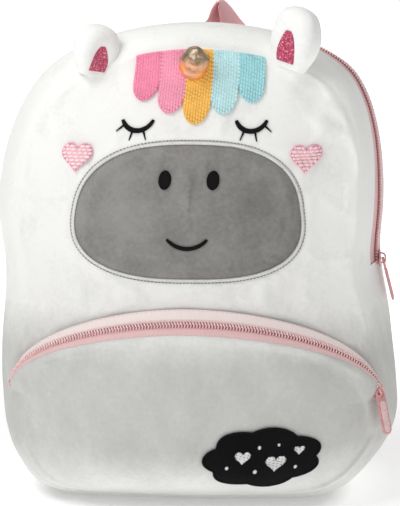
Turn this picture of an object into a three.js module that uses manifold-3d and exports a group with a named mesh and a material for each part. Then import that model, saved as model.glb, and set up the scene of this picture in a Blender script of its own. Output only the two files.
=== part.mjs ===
// Plush unicorn backpack for a small child, in millimetres.
// +Z is up, the face looks along -Y, +X is on the right of someone who looks at the face,
// and the origin is the middle of the flat base.
import * as THREE from 'three';
import { mergeVertices } from 'three/addons/utils/BufferGeometryUtils.js';
import Module from 'manifold-3d';

const wasm = await Module();
wasm.setup();

const degrees = Math.PI / 180;

// Body form
const bodyWidth = 262;
const bodyHeight = 305;
const hubShare = 0.49; // height of the centre that directions round the body are taken from
const frontDepthTop = 34; // front seam, ahead of the origin
const frontDepthSide = 38;
const frontDepthBottom = 46;
const frontInsetTop = 12; // how far the front seam lies inside the widest ring
const frontInsetSide = 15;
const frontInsetBottom = 3;
const frontCentreDepth = 58; // foremost point of the face
const backDepth = 52; // back seam, behind the origin
const backInsetTop = 20;
const backInsetSide = 9;
const backInsetBottom = 3;
const backCentreDepth = 55;
const crestTop = -8; // depth of the widest ring
const crestSide = 20;
const crestBottom = 0;
const flatTop = 0; // half of the band that stays at full width
const flatSide = 4;
const flatBottom = 34;
const panelFullness = 2.5; // higher is flatter in the middle

// Cloth
const plushWall = 3;
const backWall = 5;
const patchThickness = 1.2;
const gap = 0.3; // between sewn edges
const softGap = 0.5; // between a curved piece and what it lies on

// Zips
const mainZipDepthTop = 14;
const mainZipDepthSide = 6;
const mainZipEnd = 90; // degrees from the top to each end
const tapeWidth = 9.2;
const tapeThickness = 1.3;
const tapeSink = 0.9; // how far the tape lies below the plush
const coilWidth = 4.2;
const coilRise = 1.5;
const mainSliderAngle = 87.5;
const sliderWidth = 8.4;
const sliderLength = 10.4;
const sliderPlate = 1.4;
const crownHeight = 5;
const crownWidth = 1.8;
const crownWire = 1.2;
const pullLength = 29;
const pullWidth = 6.4;
const pullThickness = 1.7;
const pullEye = 4;
const pullLift = 1.1; // of the pull above the plate
const pullLean = 0.18; // how far it stands off while it hangs

// Pocket
const archBase = 74; // height of the ends of the pocket's zip
const archRise = 57.5; // rise of its upper edge in the middle
const archInset = 2; // from the side seam
const bandDrop = 14.5; // how far its lower edge lies below the upper one
const bandLedge = 14; // how far its lower edge stands ahead of the face
const bandEnd = 4; // degrees from the ends of the arch to the ends of the zip
const pocketInset = 3; // from the front seam
const pocketHub = 58;
const pocketCentreDepth = 87;
const pocketFullness = 2.6;
const pocketSliderAngle = 13;

// Ears and horn
const earSeamAngle = 26.5;
const earSink = 7;
const earTurn = 38;
const liningFrom = 0.2;
const liningTo = 0.72;
const liningSpread = 40;
const hornHeight = 279;
const hornLength = 28;
const hornRadius = 10.4;
const hornElevation = 28;
const hornTurns = 4;
const hornRidge = 0.09;
const hornSink = 6;

// Straps and handle
const handleWidth = 19;
const handleThickness = 2;
const handleAcross = 12;
const handleSpan = 27;
const handleRise = 34;
const strapWidth = 44;
const strapPad = 9;
const strapTopHeight = 268;
const strapTopAcross = 32;
const strapEndHeight = 112;
const strapEndAcross = 46;
const strapReach = 33; // how far the strap stands behind the back
const webbingWidth = 20;
const webbingThickness = 1.5;
const webbingTurn = 9; // straight stretch below the strap's end
const anchorAcross = 90;
const anchorHeight = 40;
const anchorSize = 34;
const anchorThickness = 2;
const lockBar = 2.2;
const lockPitch = 8;
const lockShare = 0.33; // place of the lock along the webbing

// Face
const faceAcross = 1.5;
const muzzleHeight = 192;
const muzzleHalfWidth = 71;
const muzzleHalfHeight = 42.5;
const muzzleTaper = 0.09;
const nostrilAcross = 15;
const nostrilHeight = 212;
const nostrilWidth = 8;
const nostrilTall = 12;
const mouthHeight = 187;
const mouthRadius = 17;
const mouthHalfAngle = 48;
const threadWidth = 3;
const eyeAcross = 36;
const eyeHeight = 252;
const eyeRadius = 10.5;
const eyeHalfAngle = 68;
const lashLength = 5;
const cheekAcross = 72;
const cheekHeight = 226;
const cheekSize = 19;
const forelockWidth = 84; // at the seam
const forelockFlare = 0.42; // how much wider it spreads at the end of its longest lock
const forelockTop = 0.985; // share of the face, from the hub up, where the locks start
const cloudAcross = 44;
const cloudHeight = 41;
const cloudHalfWidth = 38;
const cloudHalfHeight = 22;
const cloudLobes = 7;

// Half outline of the body from the front: shares of half the width and of the height
const outline = [
  { across: 0, up: 0 },
  { across: 0.3, up: 0 },
  { across: 0.52, up: 0 },
  { across: 0.69, up: 0.008 },
  { across: 0.81, up: 0.033 },
  { across: 0.92, up: 0.088 },
  { across: 0.985, up: 0.152 },
  { across: 1, up: 0.235 },
  { across: 0.977, up: 0.36 },
  { across: 0.945, up: 0.475 },
  { across: 0.95, up: 0.6 },
  { across: 0.94, up: 0.68 },
  { across: 0.91, up: 0.77 },
  { across: 0.857, up: 0.84 },
  { across: 0.765, up: 0.9 },
  { across: 0.6, up: 0.948 },
  { across: 0.34, up: 0.985 },
  { across: 0, up: 1 },
];

// Each ear: which side, how it leans, and its own size
const ears = [
  { name: 'left', side: -1, lean: 12, length: 36, width: 32, thickness: 22 },
  { name: 'right', side: 1, lean: 14, length: 43, width: 36, thickness: 24 },
];

// Ear form from its root to its tip: shares of length, half width and half thickness
const earRings = [
  { up: 0.1, wide: 0.72, thick: 0.72 },
  { up: 0.3, wide: 0.93, thick: 0.95 },
  { up: 0.52, wide: 1, thick: 1 },
  { up: 0.72, wide: 0.93, thick: 0.92 },
  { up: 0.87, wide: 0.76, thick: 0.74 },
  { up: 0.96, wide: 0.46, thick: 0.46 },
];

// Shoulder strap: shares of its drop, its reach, its width and its pad
const strapStations = [
  { down: -0.03, out: -0.2, wide: 1, pad: 0.7 },
  { down: 0.02, out: 0.16, wide: 1, pad: 0.75 },
  { down: 0.1, out: 0.55, wide: 1, pad: 1 },
  { down: 0.28, out: 0.93, wide: 1, pad: 1 },
  { down: 0.52, out: 1, wide: 1, pad: 1 },
  { down: 0.76, out: 0.86, wide: 0.94, pad: 1 },
  { down: 0.93, out: 0.67, wide: 0.82, pad: 0.9 },
  { down: 1, out: 0.58, wide: 0.62, pad: 0.6 },
];

// Handle: shares of its span and rise, and how far the webbing has turned edge on
const handleStations = [
  { across: -0.5, up: -0.25, turn: 0 },
  { across: -0.5, up: 0.3, turn: 10 },
  { across: -0.38, up: 0.8, turn: 45 },
  { across: -0.08, up: 1, turn: 80 },
  { across: 0.25, up: 0.72, turn: 45 },
  { across: 0.45, up: 0.3, turn: 10 },
  { across: 0.5, up: -0.25, turn: 0 },
];

// Forelock: drop of each lock as a share of the face above the hub, and its colour
const forelock = [
  { drop: 0.19, colour: 'rose' },
  { drop: 0.26, colour: 'pink' },
  { drop: 0.31, colour: 'honey' },
  { drop: 0.26, colour: 'aqua' },
  { drop: 0.19, colour: 'teal' },
];

// Tessellation
const columns = 60;
const frontShares = [0, 0.3, 0.55, 0.76, 0.9, 1];
const backShares = [0, 0.5, 0.82, 1];
const pocketShares = [0, 0.4, 0.7, 0.88, 1];
const frontRows = 3;
const rearRows = 2;
const archColumns = 28;
const pocketFloorColumns = 20;

const material = (color, roughness, metalness = 0) =>
  new THREE.MeshStandardMaterial({ color, roughness, metalness });
const plush = material(0xf2f1ee, 0.95);
const backCloth = material(0xe9dfe0, 0.9);
const greyPlush = material(0x8f8d8a, 0.95);
const black = material(0x0c0c0d, 0.8);
const tapePink = material(0xe9b9bc, 0.85);
const coilPink = material(0xb97c80, 0.5);
const sliderMetal = material(0xd9a9a0, 0.35, 0.8);
const pullPink = material(0xd7a09f, 0.45, 0.2);
const webbingPink = material(0xe2969f, 0.85);
const liningPink = material(0xc63a66, 0.6);
const hornGold = material(0xe0a050, 0.3, 0.6);
const cheekPink = material(0xf2b3c2, 0.8);
const threads = {
  rose: material(0xf07fb0, 0.7),
  pink: material(0xf6a0c4, 0.7),
  honey: material(0xf2b23c, 0.7),
  aqua: material(0x8fd0d2, 0.7),
  teal: material(0x74c2c6, 0.7),
};

const object = new THREE.Group();

function add(name, geometry, finish, parent = object) {
  const mesh = new THREE.Mesh(geometry, finish);
  mesh.name = name;
  parent.add(mesh);
  return mesh;
}

// Geometry helpers

function outward(positions, index) {
  const corner = (i) => new THREE.Vector3().fromArray(positions, 3 * i);
  let volume = 0;
  for (let i = 0; i < index.length; i += 3) {
    const [a, b, c] = [corner(index[i]), corner(index[i + 1]), corner(index[i + 2])];
    volume += a.dot(b.cross(c));
  }
  const turned = volume < 0 ? index.slice().reverse() : index;
  const geometry = new THREE.BufferGeometry();
  geometry.setAttribute('position', new THREE.Float32BufferAttribute(positions, 3));
  geometry.setIndex(turned);
  return geometry;
}

// A closed wall between an outer skin (face 0) and an inner one (face 1)
function wall(skin, across, along, { loop = false, pole = false } = {}) {
  const positions = [];
  const index = [];
  const stops = loop ? across : across + 1;
  const vertex = [0, 1].map((face) =>
    Array.from({ length: along + 1 }, (_, row) => {
      const single = pole && row === 0;
      const first = positions.length / 3;
      for (let column = 0; column < (single ? 1 : stops); column++) {
        positions.push(...skin(column, row, face).toArray());
      }
      return (column) => first + (single ? 0 : column % stops);
    }),
  );
  const quad = (a, b, c, d) => {
    if (a !== b) index.push(a, b, c);
    if (c !== d) index.push(a, c, d);
  };
  for (let column = 0; column < across; column++) {
    for (let row = 0; row < along; row++) {
      const [outer, next] = [vertex[0][row], vertex[0][row + 1]];
      const [inner, innerNext] = [vertex[1][row], vertex[1][row + 1]];
      quad(outer(column), outer(column + 1), next(column + 1), next(column));
      quad(innerNext(column), innerNext(column + 1), inner(column + 1), inner(column));
    }
    const [edge, innerEdge] = [vertex[0][along], vertex[1][along]];
    quad(edge(column), edge(column + 1), innerEdge(column + 1), innerEdge(column));
    if (!pole) {
      const [start, innerStart] = [vertex[0][0], vertex[1][0]];
      quad(innerStart(column), innerStart(column + 1), start(column + 1), start(column));
    }
  }
  if (!loop) {
    for (let row = 0; row < along; row++) {
      for (const [column, flip] of [[0, true], [across, false]]) {
        const corners = [
          vertex[0][row](column),
          vertex[1][row](column),
          vertex[1][row + 1](column),
          vertex[0][row + 1](column),
        ];
        quad(...(flip ? corners.reverse() : corners));
      }
    }
  }
  return outward(positions, index);
}

// A closed body from a row of rings; its two ends close on a point each
function rings(sections, first, last) {
  const sides = sections[0].length;
  const positions = [...first.toArray(), ...sections.flat().flatMap((p) => p.toArray()), ...last.toArray()];
  const at = (ring, side) => 1 + ring * sides + (side % sides);
  const end = 1 + sections.length * sides;
  const index = [];
  for (let side = 0; side < sides; side++) {
    index.push(0, at(0, side + 1), at(0, side));
    for (let ring = 0; ring + 1 < sections.length; ring++) {
      index.push(at(ring, side), at(ring, side + 1), at(ring + 1, side + 1));
      index.push(at(ring, side), at(ring + 1, side + 1), at(ring + 1, side));
    }
    index.push(end, at(sections.length - 1, side), at(sections.length - 1, side + 1));
  }
  return outward(positions, index);
}

const middle = (points) =>
  points.reduce((sum, p) => sum.add(p), new THREE.Vector3()).divideScalar(points.length);

const closedLoft = (sections) => rings(sections, middle(sections[0]), middle(sections.at(-1)));

function toSolid(geometry) {
  const bare = geometry.clone();
  bare.deleteAttribute('normal');
  bare.deleteAttribute('uv');
  const merged = mergeVertices(bare);
  return new wasm.Manifold(
    new wasm.Mesh({
      numProp: 3,
      vertProperties: new Float32Array(merged.attributes.position.array),
      triVerts: new Uint32Array(merged.index.array),
    }),
  );
}

function toGeometry(solid) {
  const mesh = solid.getMesh();
  const geometry = new THREE.BufferGeometry();
  geometry.setAttribute('position', new THREE.BufferAttribute(mesh.vertProperties, 3));
  geometry.setIndex(new THREE.BufferAttribute(mesh.triVerts, 1));
  return geometry;
}

const cut = (geometry, tool) => toGeometry(toSolid(geometry).subtract(tool));
const join = (a, b) => toGeometry(toSolid(a).add(toSolid(b)));

// Distance from a centre to a closed outline, by direction: 0 is up and 90 degrees is +X
function polar(points, centreHeight) {
  const rays = points
    .map(({ x, z }) => ({ angle: Math.atan2(x, z - centreHeight), reach: Math.hypot(x, z - centreHeight) }))
    .sort((a, b) => a.angle - b.angle);
  const [first, last] = [rays[0], rays.at(-1)];
  rays.unshift({ angle: last.angle - 2 * Math.PI, reach: last.reach });
  rays.push({ angle: first.angle + 2 * Math.PI, reach: first.reach });
  return (angle) => {
    const wrapped = Math.atan2(Math.sin(angle), Math.cos(angle));
    let low = 0;
    let high = rays.length - 1;
    while (high - low > 1) {
      const probe = (low + high) >> 1;
      if (rays[probe].angle <= wrapped) low = probe;
      else high = probe;
    }
    const [a, b] = [rays[low], rays[high]];
    return THREE.MathUtils.mapLinear(wrapped, a.angle, b.angle, a.reach, b.reach);
  };
}

// Body surfaces

const hub = bodyHeight * hubShare;
const outlineSamples = 720;

function bodyOutline() {
  const right = outline.map(({ across, up }) => new THREE.Vector3((across * bodyWidth) / 2, 0, up * bodyHeight));
  const left = right.slice(1, -1).reverse().map((p) => new THREE.Vector3(-p.x, 0, p.z));
  const curve = new THREE.CatmullRomCurve3([...right, ...left], true, 'centripetal');
  return Array.from({ length: outlineSamples }, (_, i) => {
    const point = curve.getPoint(i / outlineSamples);
    return { x: point.x, z: Math.max(0, point.z) };
  });
}

const ringRadius = polar(bodyOutline(), hub);

function mix(angle, top, side, bottom) {
  const upright = Math.cos(angle);
  return (upright > 0 ? top : bottom) * upright ** 2 + side * Math.sin(angle) ** 2;
}

const frontDepth = (angle) => mix(angle, frontDepthTop, frontDepthSide, frontDepthBottom);
const crest = (angle) => mix(angle, crestTop, crestSide, crestBottom);
const mainZipDepth = (angle) => mix(angle, mainZipDepthTop, mainZipDepthSide, mainZipDepthSide);

function gussetRadius(angle, depth) {
  const ahead = depth < crest(angle);
  const inset = ahead
    ? mix(angle, frontInsetTop, frontInsetSide, frontInsetBottom)
    : mix(angle, backInsetTop, backInsetSide, backInsetBottom);
  const reach = ahead ? frontDepth(angle) + crest(angle) : backDepth - crest(angle);
  const flat = mix(angle, flatTop, flatSide, flatBottom);
  const share = Math.max(0, Math.abs(depth - crest(angle)) - flat) / (reach - flat);
  return ringRadius(angle) - inset * share ** 2;
}

const polarPoint = (angle, radius, depth) =>
  new THREE.Vector3(radius * Math.sin(angle), depth, hub + radius * Math.cos(angle));

const gussetPoint = (angle, depth, sunk) => polarPoint(angle, gussetRadius(angle, depth) - sunk, depth);

const dome = (centre, rim, share, fullness) => centre + (rim - centre) * share ** fullness;

const frontRim = (angle, sunk = 0) => gussetRadius(angle, sunk - frontDepth(angle)) - sunk - gap;
const backRim = (angle, sunk = 0) => gussetRadius(angle, backDepth - sunk) - sunk - gap;

function frontPoint(angle, share, sunk = 0) {
  const depth = -dome(frontCentreDepth, frontDepth(angle), share, panelFullness) + sunk;
  return polarPoint(angle, share * frontRim(angle, sunk), depth);
}

function backPoint(angle, share, sunk = 0) {
  const depth = dome(backCentreDepth, backDepth, share, panelFullness) - sunk;
  return polarPoint(angle, share * backRim(angle, sunk), depth);
}

// Depth of the face, of the back and of the pocket at a place seen from the front
function faceSurface(x, z) {
  const angle = Math.atan2(x, z - hub);
  const share = Math.min(1, Math.hypot(x, z - hub) / frontRim(angle));
  return -dome(frontCentreDepth, frontDepth(angle), share, panelFullness);
}

function backSurface(x, z) {
  const angle = Math.atan2(x, z - hub);
  const share = Math.min(1, Math.hypot(x, z - hub) / backRim(angle));
  return dome(backCentreDepth, backDepth, share, panelFullness);
}

// Depths of the rows across the gusset, from the front seam past the zip to the back seam
const mainZipHalf = coilWidth / 2 + gap + tapeWidth + gap;
const gussetRows = frontRows + 1 + rearRows;

function gussetDepth(angle, row, sunk) {
  const zip = mainZipDepth(angle);
  const front = -frontDepth(angle) + sunk + gap;
  const rear = backDepth - Math.min(sunk, plushWall) - gap;
  if (row <= frontRows) return THREE.MathUtils.lerp(front, zip - mainZipHalf, row / frontRows);
  return THREE.MathUtils.lerp(zip + mainZipHalf, rear, (row - frontRows - 1) / rearRows);
}

const columnAngle = (column) => (column / columns) * 2 * Math.PI - mainZipEnd * degrees;
const halfColumns = Math.round((columns * mainZipEnd) / 180);
const endGap = gap / bodyWidth; // as an angle, half of the gap on each side of a zip end

function gussetBand(firstColumn, lastColumn, firstRow, lastRow) {
  const count = lastColumn - firstColumn;
  const skin = (column, row, face) => {
    const trim = column === 0 ? endGap : column === count ? -endGap : 0;
    const angle = columnAngle(firstColumn + column) + trim;
    const sunk = face * plushWall;
    return gussetPoint(angle, gussetDepth(angle, firstRow + row, sunk), sunk);
  };
  return wall(skin, count, lastRow - firstRow);
}

function buildBody() {
  const front = (column, row, face) => frontPoint(columnAngle(column), frontShares[row], face * plushWall);
  const back = (column, row, face) => backPoint(columnAngle(column), backShares[row], face * backWall);
  add('front_panel', wall(front, columns, frontShares.length - 1, { loop: true, pole: true }), plush);
  add('back_panel', wall(back, columns, backShares.length - 1, { loop: true, pole: true }), backCloth);
  add('gusset_front_strip', gussetBand(0, halfColumns, 0, frontRows), plush);
  add('gusset_rear_strip', gussetBand(0, halfColumns, frontRows + 1, gussetRows), plush);
  add('base_gusset', gussetBand(halfColumns, columns, 0, gussetRows), plush);
}

// The body as one solid, grown all over, for cutting what is sewn on so that it sits close
function bodySolid(grown) {
  const ring = (pointAt) => Array.from({ length: columns }, (_, column) => pointAt(columnAngle(column)));
  const spread = (angle, point) => point.add(polarPoint(angle, grown, 0).setZ(grown * Math.cos(angle)));
  const sections = [
    ...frontShares.slice(1).map((share) =>
      ring((angle) => {
        const point = frontPoint(angle, share).setY(frontPoint(angle, share).y - grown);
        return share < 1 ? point : spread(angle, point);
      }),
    ),
    ...Array.from({ length: gussetRows + 1 }, (_, row) =>
      ring((angle) => spread(angle, gussetPoint(angle, gussetDepth(angle, row, 0), 0))),
    ),
    ...backShares.slice(1).reverse().map((share) =>
      ring((angle) => {
        const point = backPoint(angle, share).setY(backPoint(angle, share).y + grown);
        return share < 1 ? point : spread(angle, point);
      }),
    ),
  ];
  const front = new THREE.Vector3(0, -frontCentreDepth - grown, hub);
  const back = new THREE.Vector3(0, backCentreDepth + grown, hub);
  return toSolid(rings(sections, front, back));
}

// A thin piece laid on a surface, round a centre, with its outline given by direction
function patch({ surface, x, z, edge, around, shares, lift, thickness, out = -1 }) {
  const skin = (column, row, face) => {
    const angle = (column / around) * 2 * Math.PI;
    const { across, up } = edge(angle);
    const [px, pz] = [x + across * shares[row], z + up * shares[row]];
    return new THREE.Vector3(px, surface(px, pz) + out * (lift + (1 - face) * thickness), pz);
  };
  return wall(skin, around, shares.length - 1, { loop: true, pole: true });
}

// A small flat shape laid on a surface
function applique(shape, { surface, x, z, lift, thickness, out = -1 }) {
  const geometry = new THREE.ExtrudeGeometry(shape, { depth: 1, steps: 1, bevelEnabled: false, curveSegments: 5 });
  geometry.deleteAttribute('normal');
  geometry.deleteAttribute('uv');
  const merged = mergeVertices(geometry);
  const position = merged.attributes.position;
  for (let i = 0; i < position.count; i++) {
    const [px, pz] = [x + position.getX(i), z + position.getY(i)];
    const away = lift + position.getZ(i) * thickness;
    position.setXYZ(i, px, surface(px, pz) + out * away, pz);
  }
  return outward(Array.from(position.array), Array.from(merged.index.array));
}

// Main zip

function buildMainZip() {
  const angleAt = (column) => {
    const trim = column === 0 ? endGap : column === halfColumns ? -endGap : 0;
    return columnAngle(column) + trim;
  };
  const tape = (side) => (column, row, face) => {
    const angle = angleAt(column);
    const near = coilWidth / 2 + gap;
    const depth = mainZipDepth(angle) + side * (near + row * tapeWidth);
    return gussetPoint(angle, depth, tapeSink + face * tapeThickness);
  };
  const coil = (column, row, face) => {
    const angle = angleAt(column);
    const depth = mainZipDepth(angle) + (row / 2 - 0.5) * coilWidth;
    const rise = face === 0 ? (row === 1 ? coilRise : 0.25 * coilRise) : 0;
    return gussetPoint(angle, depth, tapeSink + face * tapeThickness - rise);
  };
  add('main_zip_tape_front', wall(tape(-1), halfColumns, 1), tapePink);
  add('main_zip_tape_rear', wall(tape(1), halfColumns, 1), tapePink);
  add('main_zip_coil', wall(coil, halfColumns, 2), coilPink);

  const angle = mainSliderAngle * degrees;
  const at = (turned) => gussetPoint(turned, mainZipDepth(turned), tapeSink - coilRise - gap);
  const along = at(angle + 0.02).sub(at(angle - 0.02));
  const out = new THREE.Vector3(Math.sin(angle), 0, Math.cos(angle));
  addSlider('main_zip', at(angle), along, out);
}

// Zip slider: a plate with a crown over it, and a pull that hangs from the crown.
// The slider has X across the zip, Y along it towards the hanging end and Z outward.
function addSlider(name, place, along, out) {
  const y = along.clone().normalize();
  const z = out.clone().addScaledVector(y, -out.dot(y)).normalize();
  const x = new THREE.Vector3().crossVectors(y, z);
  const group = new THREE.Group();
  group.matrixAutoUpdate = false;
  group.matrix.makeBasis(x, y, z).setPosition(place);
  object.add(group);

  const [halfWidth, halfLength] = [sliderWidth / 2, sliderLength / 2];
  const plan = new THREE.Shape([
    new THREE.Vector2(-0.55 * halfWidth, -halfLength),
    new THREE.Vector2(0.55 * halfWidth, -halfLength),
    new THREE.Vector2(halfWidth, -0.35 * halfLength),
    new THREE.Vector2(halfWidth, 0.75 * halfLength),
    new THREE.Vector2(0.7 * halfWidth, halfLength),
    new THREE.Vector2(-0.7 * halfWidth, halfLength),
    new THREE.Vector2(-halfWidth, 0.75 * halfLength),
    new THREE.Vector2(-halfWidth, -0.35 * halfLength),
  ]);
  const plate = new THREE.ExtrudeGeometry(plan, { depth: sliderPlate, steps: 1, bevelEnabled: false });
  const reach = 0.84 * halfLength;
  const arch = new THREE.Shape([
    new THREE.Vector2(-reach, -0.5 * sliderPlate),
    new THREE.Vector2(-0.8 * reach, 0.8 * crownHeight),
    new THREE.Vector2(-0.5 * reach, crownHeight),
    new THREE.Vector2(0.5 * reach, crownHeight),
    new THREE.Vector2(reach, 0.75 * crownHeight),
    new THREE.Vector2(reach, -0.5 * sliderPlate),
    new THREE.Vector2(reach - crownWire, -0.5 * sliderPlate),
    new THREE.Vector2(reach - crownWire, crownHeight - crownWire),
    new THREE.Vector2(-0.5 * reach, crownHeight - crownWire),
    new THREE.Vector2(-reach + crownWire, -0.5 * sliderPlate),
  ]);
  const crown = new THREE.ExtrudeGeometry(arch, { depth: crownWidth, steps: 1, bevelEnabled: false });
  crown.translate(0, 0, -crownWidth / 2);
  crown.applyMatrix4(
    new THREE.Matrix4().makeBasis(
      new THREE.Vector3(0, 1, 0),
      new THREE.Vector3(0, 0, 1),
      new THREE.Vector3(1, 0, 0),
    ),
  );
  crown.translate(0, 0, sliderPlate);
  add(`${name}_slider`, join(plate, crown), sliderMetal, group);

  const outlineOf = (halfWide, from, to, Kind) => {
    const path = new Kind();
    path.absarc(0, to - halfWide, halfWide, 0, Math.PI, false);
    path.absarc(0, from + halfWide, halfWide, Math.PI, 2 * Math.PI, false);
    path.closePath();
    return path;
  };
  const eyeWall = (pullWidth - pullEye) / 2;
  const tab = outlineOf(pullWidth / 2, -pullEye / 2 - eyeWall, pullLength - pullEye / 2 - eyeWall, THREE.Shape);
  tab.holes.push(outlineOf(pullEye / 2, -pullEye / 2, pullEye / 2 + 0.01, THREE.Path));
  const pull = new THREE.ExtrudeGeometry(tab, {
    depth: pullThickness,
    steps: 1,
    bevelEnabled: false,
    curveSegments: 5,
  });
  const eye = new THREE.Vector3(0, reach - crownWire / 2, sliderPlate + pullLift).applyMatrix4(group.matrix);
  const down = new THREE.Vector3(pullLean * z.x, pullLean * z.y, -1).normalize();
  const face = z.clone().addScaledVector(down, -z.dot(down)).normalize();
  const hanging = new THREE.Group();
  hanging.matrixAutoUpdate = false;
  hanging.matrix.makeBasis(new THREE.Vector3().crossVectors(down, face), down, face).setPosition(eye);
  object.add(hanging);
  add(`${name}_pull`, pull, pullPink, hanging);
}

// Pocket

const seamHeight = (angle) => hub + frontRim(angle) * Math.cos(angle);

function seamAngleAt(height) {
  let [high, low] = [Math.PI / 4, Math.PI];
  for (let i = 0; i < 40; i++) {
    const probe = (high + low) / 2;
    if (seamHeight(probe) > height) high = probe;
    else low = probe;
  }
  return (high + low) / 2;
}

const archEnd = seamAngleAt(archBase);
const archHalf = frontRim(archEnd) * Math.sin(archEnd) - archInset;

const upperEdge = (turn) => ({ x: archHalf * Math.cos(turn), z: archBase + archRise * Math.sin(turn) });
const lowerEdge = (turn) => ({
  x: (archHalf - pocketInset + archInset) * Math.cos(turn),
  z: archBase + (archRise - bandDrop) * Math.sin(turn),
});

function pocketEdgeDepth(x, z) {
  const raised = THREE.MathUtils.clamp((z - archBase) / (archRise - bandDrop), 0, 1);
  return faceSurface(x, z) - softGap - plushWall - bandLedge * Math.sqrt(raised);
}

function pocketFloor(share) {
  const angle = THREE.MathUtils.lerp(2 * Math.PI - archEnd, archEnd, share);
  const radius = frontRim(angle) - pocketInset;
  return { x: radius * Math.sin(angle), z: hub + radius * Math.cos(angle) };
}

const pocketColumns = archColumns + pocketFloorColumns;

function pocketEdge(column) {
  const step = column % pocketColumns;
  if (step <= archColumns) return lowerEdge((step / archColumns) * Math.PI);
  return pocketFloor((step - archColumns) / pocketFloorColumns);
}

const pocketOutlineSamples = 360;
const pocketRadius = polar(
  Array.from({ length: pocketOutlineSamples }, (_, i) => pocketEdge((i / pocketOutlineSamples) * pocketColumns)),
  pocketHub,
);

function pocketSurface(x, z) {
  const angle = Math.atan2(x, z - pocketHub);
  const radius = pocketRadius(angle);
  const share = Math.min(1, Math.hypot(x, z - pocketHub) / radius);
  const rim = pocketEdgeDepth(radius * Math.sin(angle), pocketHub + radius * Math.cos(angle));
  return dome(-pocketCentreDepth, rim, share, pocketFullness);
}

// The zip band of the pocket: across 0 at its upper edge and 1 at its lower one
function bandPoint(turn, across, raised) {
  const edge = (at, share) => {
    const [upper, lower] = [upperEdge(at), lowerEdge(at)];
    const top = new THREE.Vector3(upper.x, faceSurface(upper.x, upper.z) - softGap - tapeThickness, upper.z);
    const rim = pocketEdgeDepth(lower.x, lower.z);
    const clear = gap + tapeThickness;
    const bottom = new THREE.Vector3(lower.x + clear * Math.cos(at), rim, lower.z + clear * Math.sin(at));
    return top.lerp(bottom, share);
  };
  const step = 0.01;
  const along = edge(turn + step, 0.5).sub(edge(turn - step, 0.5));
  const down = edge(turn, 1).sub(edge(turn, 0));
  const normal = along.cross(down).normalize();
  if (normal.y > 0) normal.negate();
  return edge(turn, across).addScaledVector(normal, raised);
}

function buildPocket(seat) {
  const panel = (column, row, face) => {
    const { x, z } = pocketEdge(column);
    const share = pocketShares[row];
    const rim = pocketEdgeDepth(x, z);
    const depth = dome(-pocketCentreDepth, rim, share, pocketFullness) + face * plushWall;
    return new THREE.Vector3(x * share, depth, pocketHub + (z - pocketHub) * share);
  };
  const panelRows = pocketShares.length - 1;
  add('pocket_panel', wall(panel, pocketColumns, panelRows, { loop: true, pole: true }), plush);

  const bandWidth = bandPoint(Math.PI / 2, 0, 0).distanceTo(bandPoint(Math.PI / 2, 1, 0));
  const coilFrom = 0.5 - coilWidth / 2 / bandWidth;
  const joint = gap / bandWidth;
  const turnAt = (column) => THREE.MathUtils.lerp(bandEnd, 180 - bandEnd, column / archColumns) * degrees;
  const tape = (from, to) => (column, row, face) =>
    bandPoint(turnAt(column), row === 0 ? from : to, -face * tapeThickness);
  const coil = (column, row, face) => {
    const across = THREE.MathUtils.lerp(coilFrom, 1 - coilFrom, row / 2);
    const rise = row === 1 ? coilRise : 0.25 * coilRise;
    return bandPoint(turnAt(column), across, face === 0 ? rise : -tapeThickness);
  };
  add('pocket_zip_tape_upper', cut(wall(tape(0, coilFrom - joint), archColumns, 1), seat), tapePink);
  add('pocket_zip_tape_lower', cut(wall(tape(1 - coilFrom + joint, 1), archColumns, 1), seat), tapePink);
  add('pocket_zip_coil', cut(wall(coil, archColumns, 2), seat), coilPink);

  const turn = pocketSliderAngle * degrees;
  const place = bandPoint(turn, 0.5, coilRise + gap);
  const along = bandPoint(turn - 0.02, 0.5, 0).sub(bandPoint(turn + 0.02, 0.5, 0));
  const out = bandPoint(turn, 0.5, 1).sub(bandPoint(turn, 0.5, 0));
  addSlider('pocket_zip', place, along, out);
}

// Ears

function earFrame({ side, lean, length, width, thickness }) {
  const angle = side * earSeamAngle * degrees;
  const root = gussetPoint(angle, -frontDepth(angle), 0);
  const up = new THREE.Vector3(Math.sin(lean * degrees), 0, Math.cos(lean * degrees));
  const turn = -side * earTurn * degrees;
  const front = new THREE.Vector3(Math.sin(turn), -Math.cos(turn), 0);
  front.addScaledVector(up, -front.dot(up)).normalize();
  const across = new THREE.Vector3().crossVectors(front, up);
  const point = (around, { up: height, wide, thick }, raised = 0) =>
    root
      .clone()
      .addScaledVector(up, height * (length + earSink) - earSink)
      .addScaledVector(across, Math.sin(around) * ((wide * width) / 2 + raised))
      .addScaledVector(front, Math.cos(around) * ((thick * thickness) / 2 + raised));
  return { root, up, length, point };
}

const earSides = 14;

function earRingAt(height) {
  const above = Math.max(1, earRings.findIndex((ring) => ring.up >= height));
  const [a, b] = [earRings[above - 1], earRings[above]];
  const share = (height - a.up) / (b.up - a.up);
  const blend = (key) => THREE.MathUtils.lerp(a[key], b[key], share);
  return { up: height, wide: blend('wide'), thick: blend('thick') };
}

function buildEars(seat) {
  for (const ear of ears) {
    const { root, up, length, point } = earFrame(ear);
    const sections = earRings.map((ring) =>
      Array.from({ length: earSides }, (_, i) => point((i / earSides) * 2 * Math.PI, ring)),
    );
    const foot = root.clone().addScaledVector(up, -earSink);
    const tip = root.clone().addScaledVector(up, length);
    add(`ear_${ear.name}`, cut(rings(sections, foot, tip), seat), plush);

    const lining = (column, row, face) => {
      const height = THREE.MathUtils.lerp(liningFrom, liningTo, row / 4);
      const narrow = Math.sqrt(1 - (row / 4.6) ** 2);
      const around = (column / 2 - 1) * liningSpread * degrees * narrow;
      return point(around, earRingAt(height), softGap + (1 - face) * patchThickness);
    };
    add(`ear_lining_${ear.name}`, cut(wall(lining, 4, 4), seat), liningPink);
  }
}

// Horn: a cone wound with one spiral thread

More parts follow.
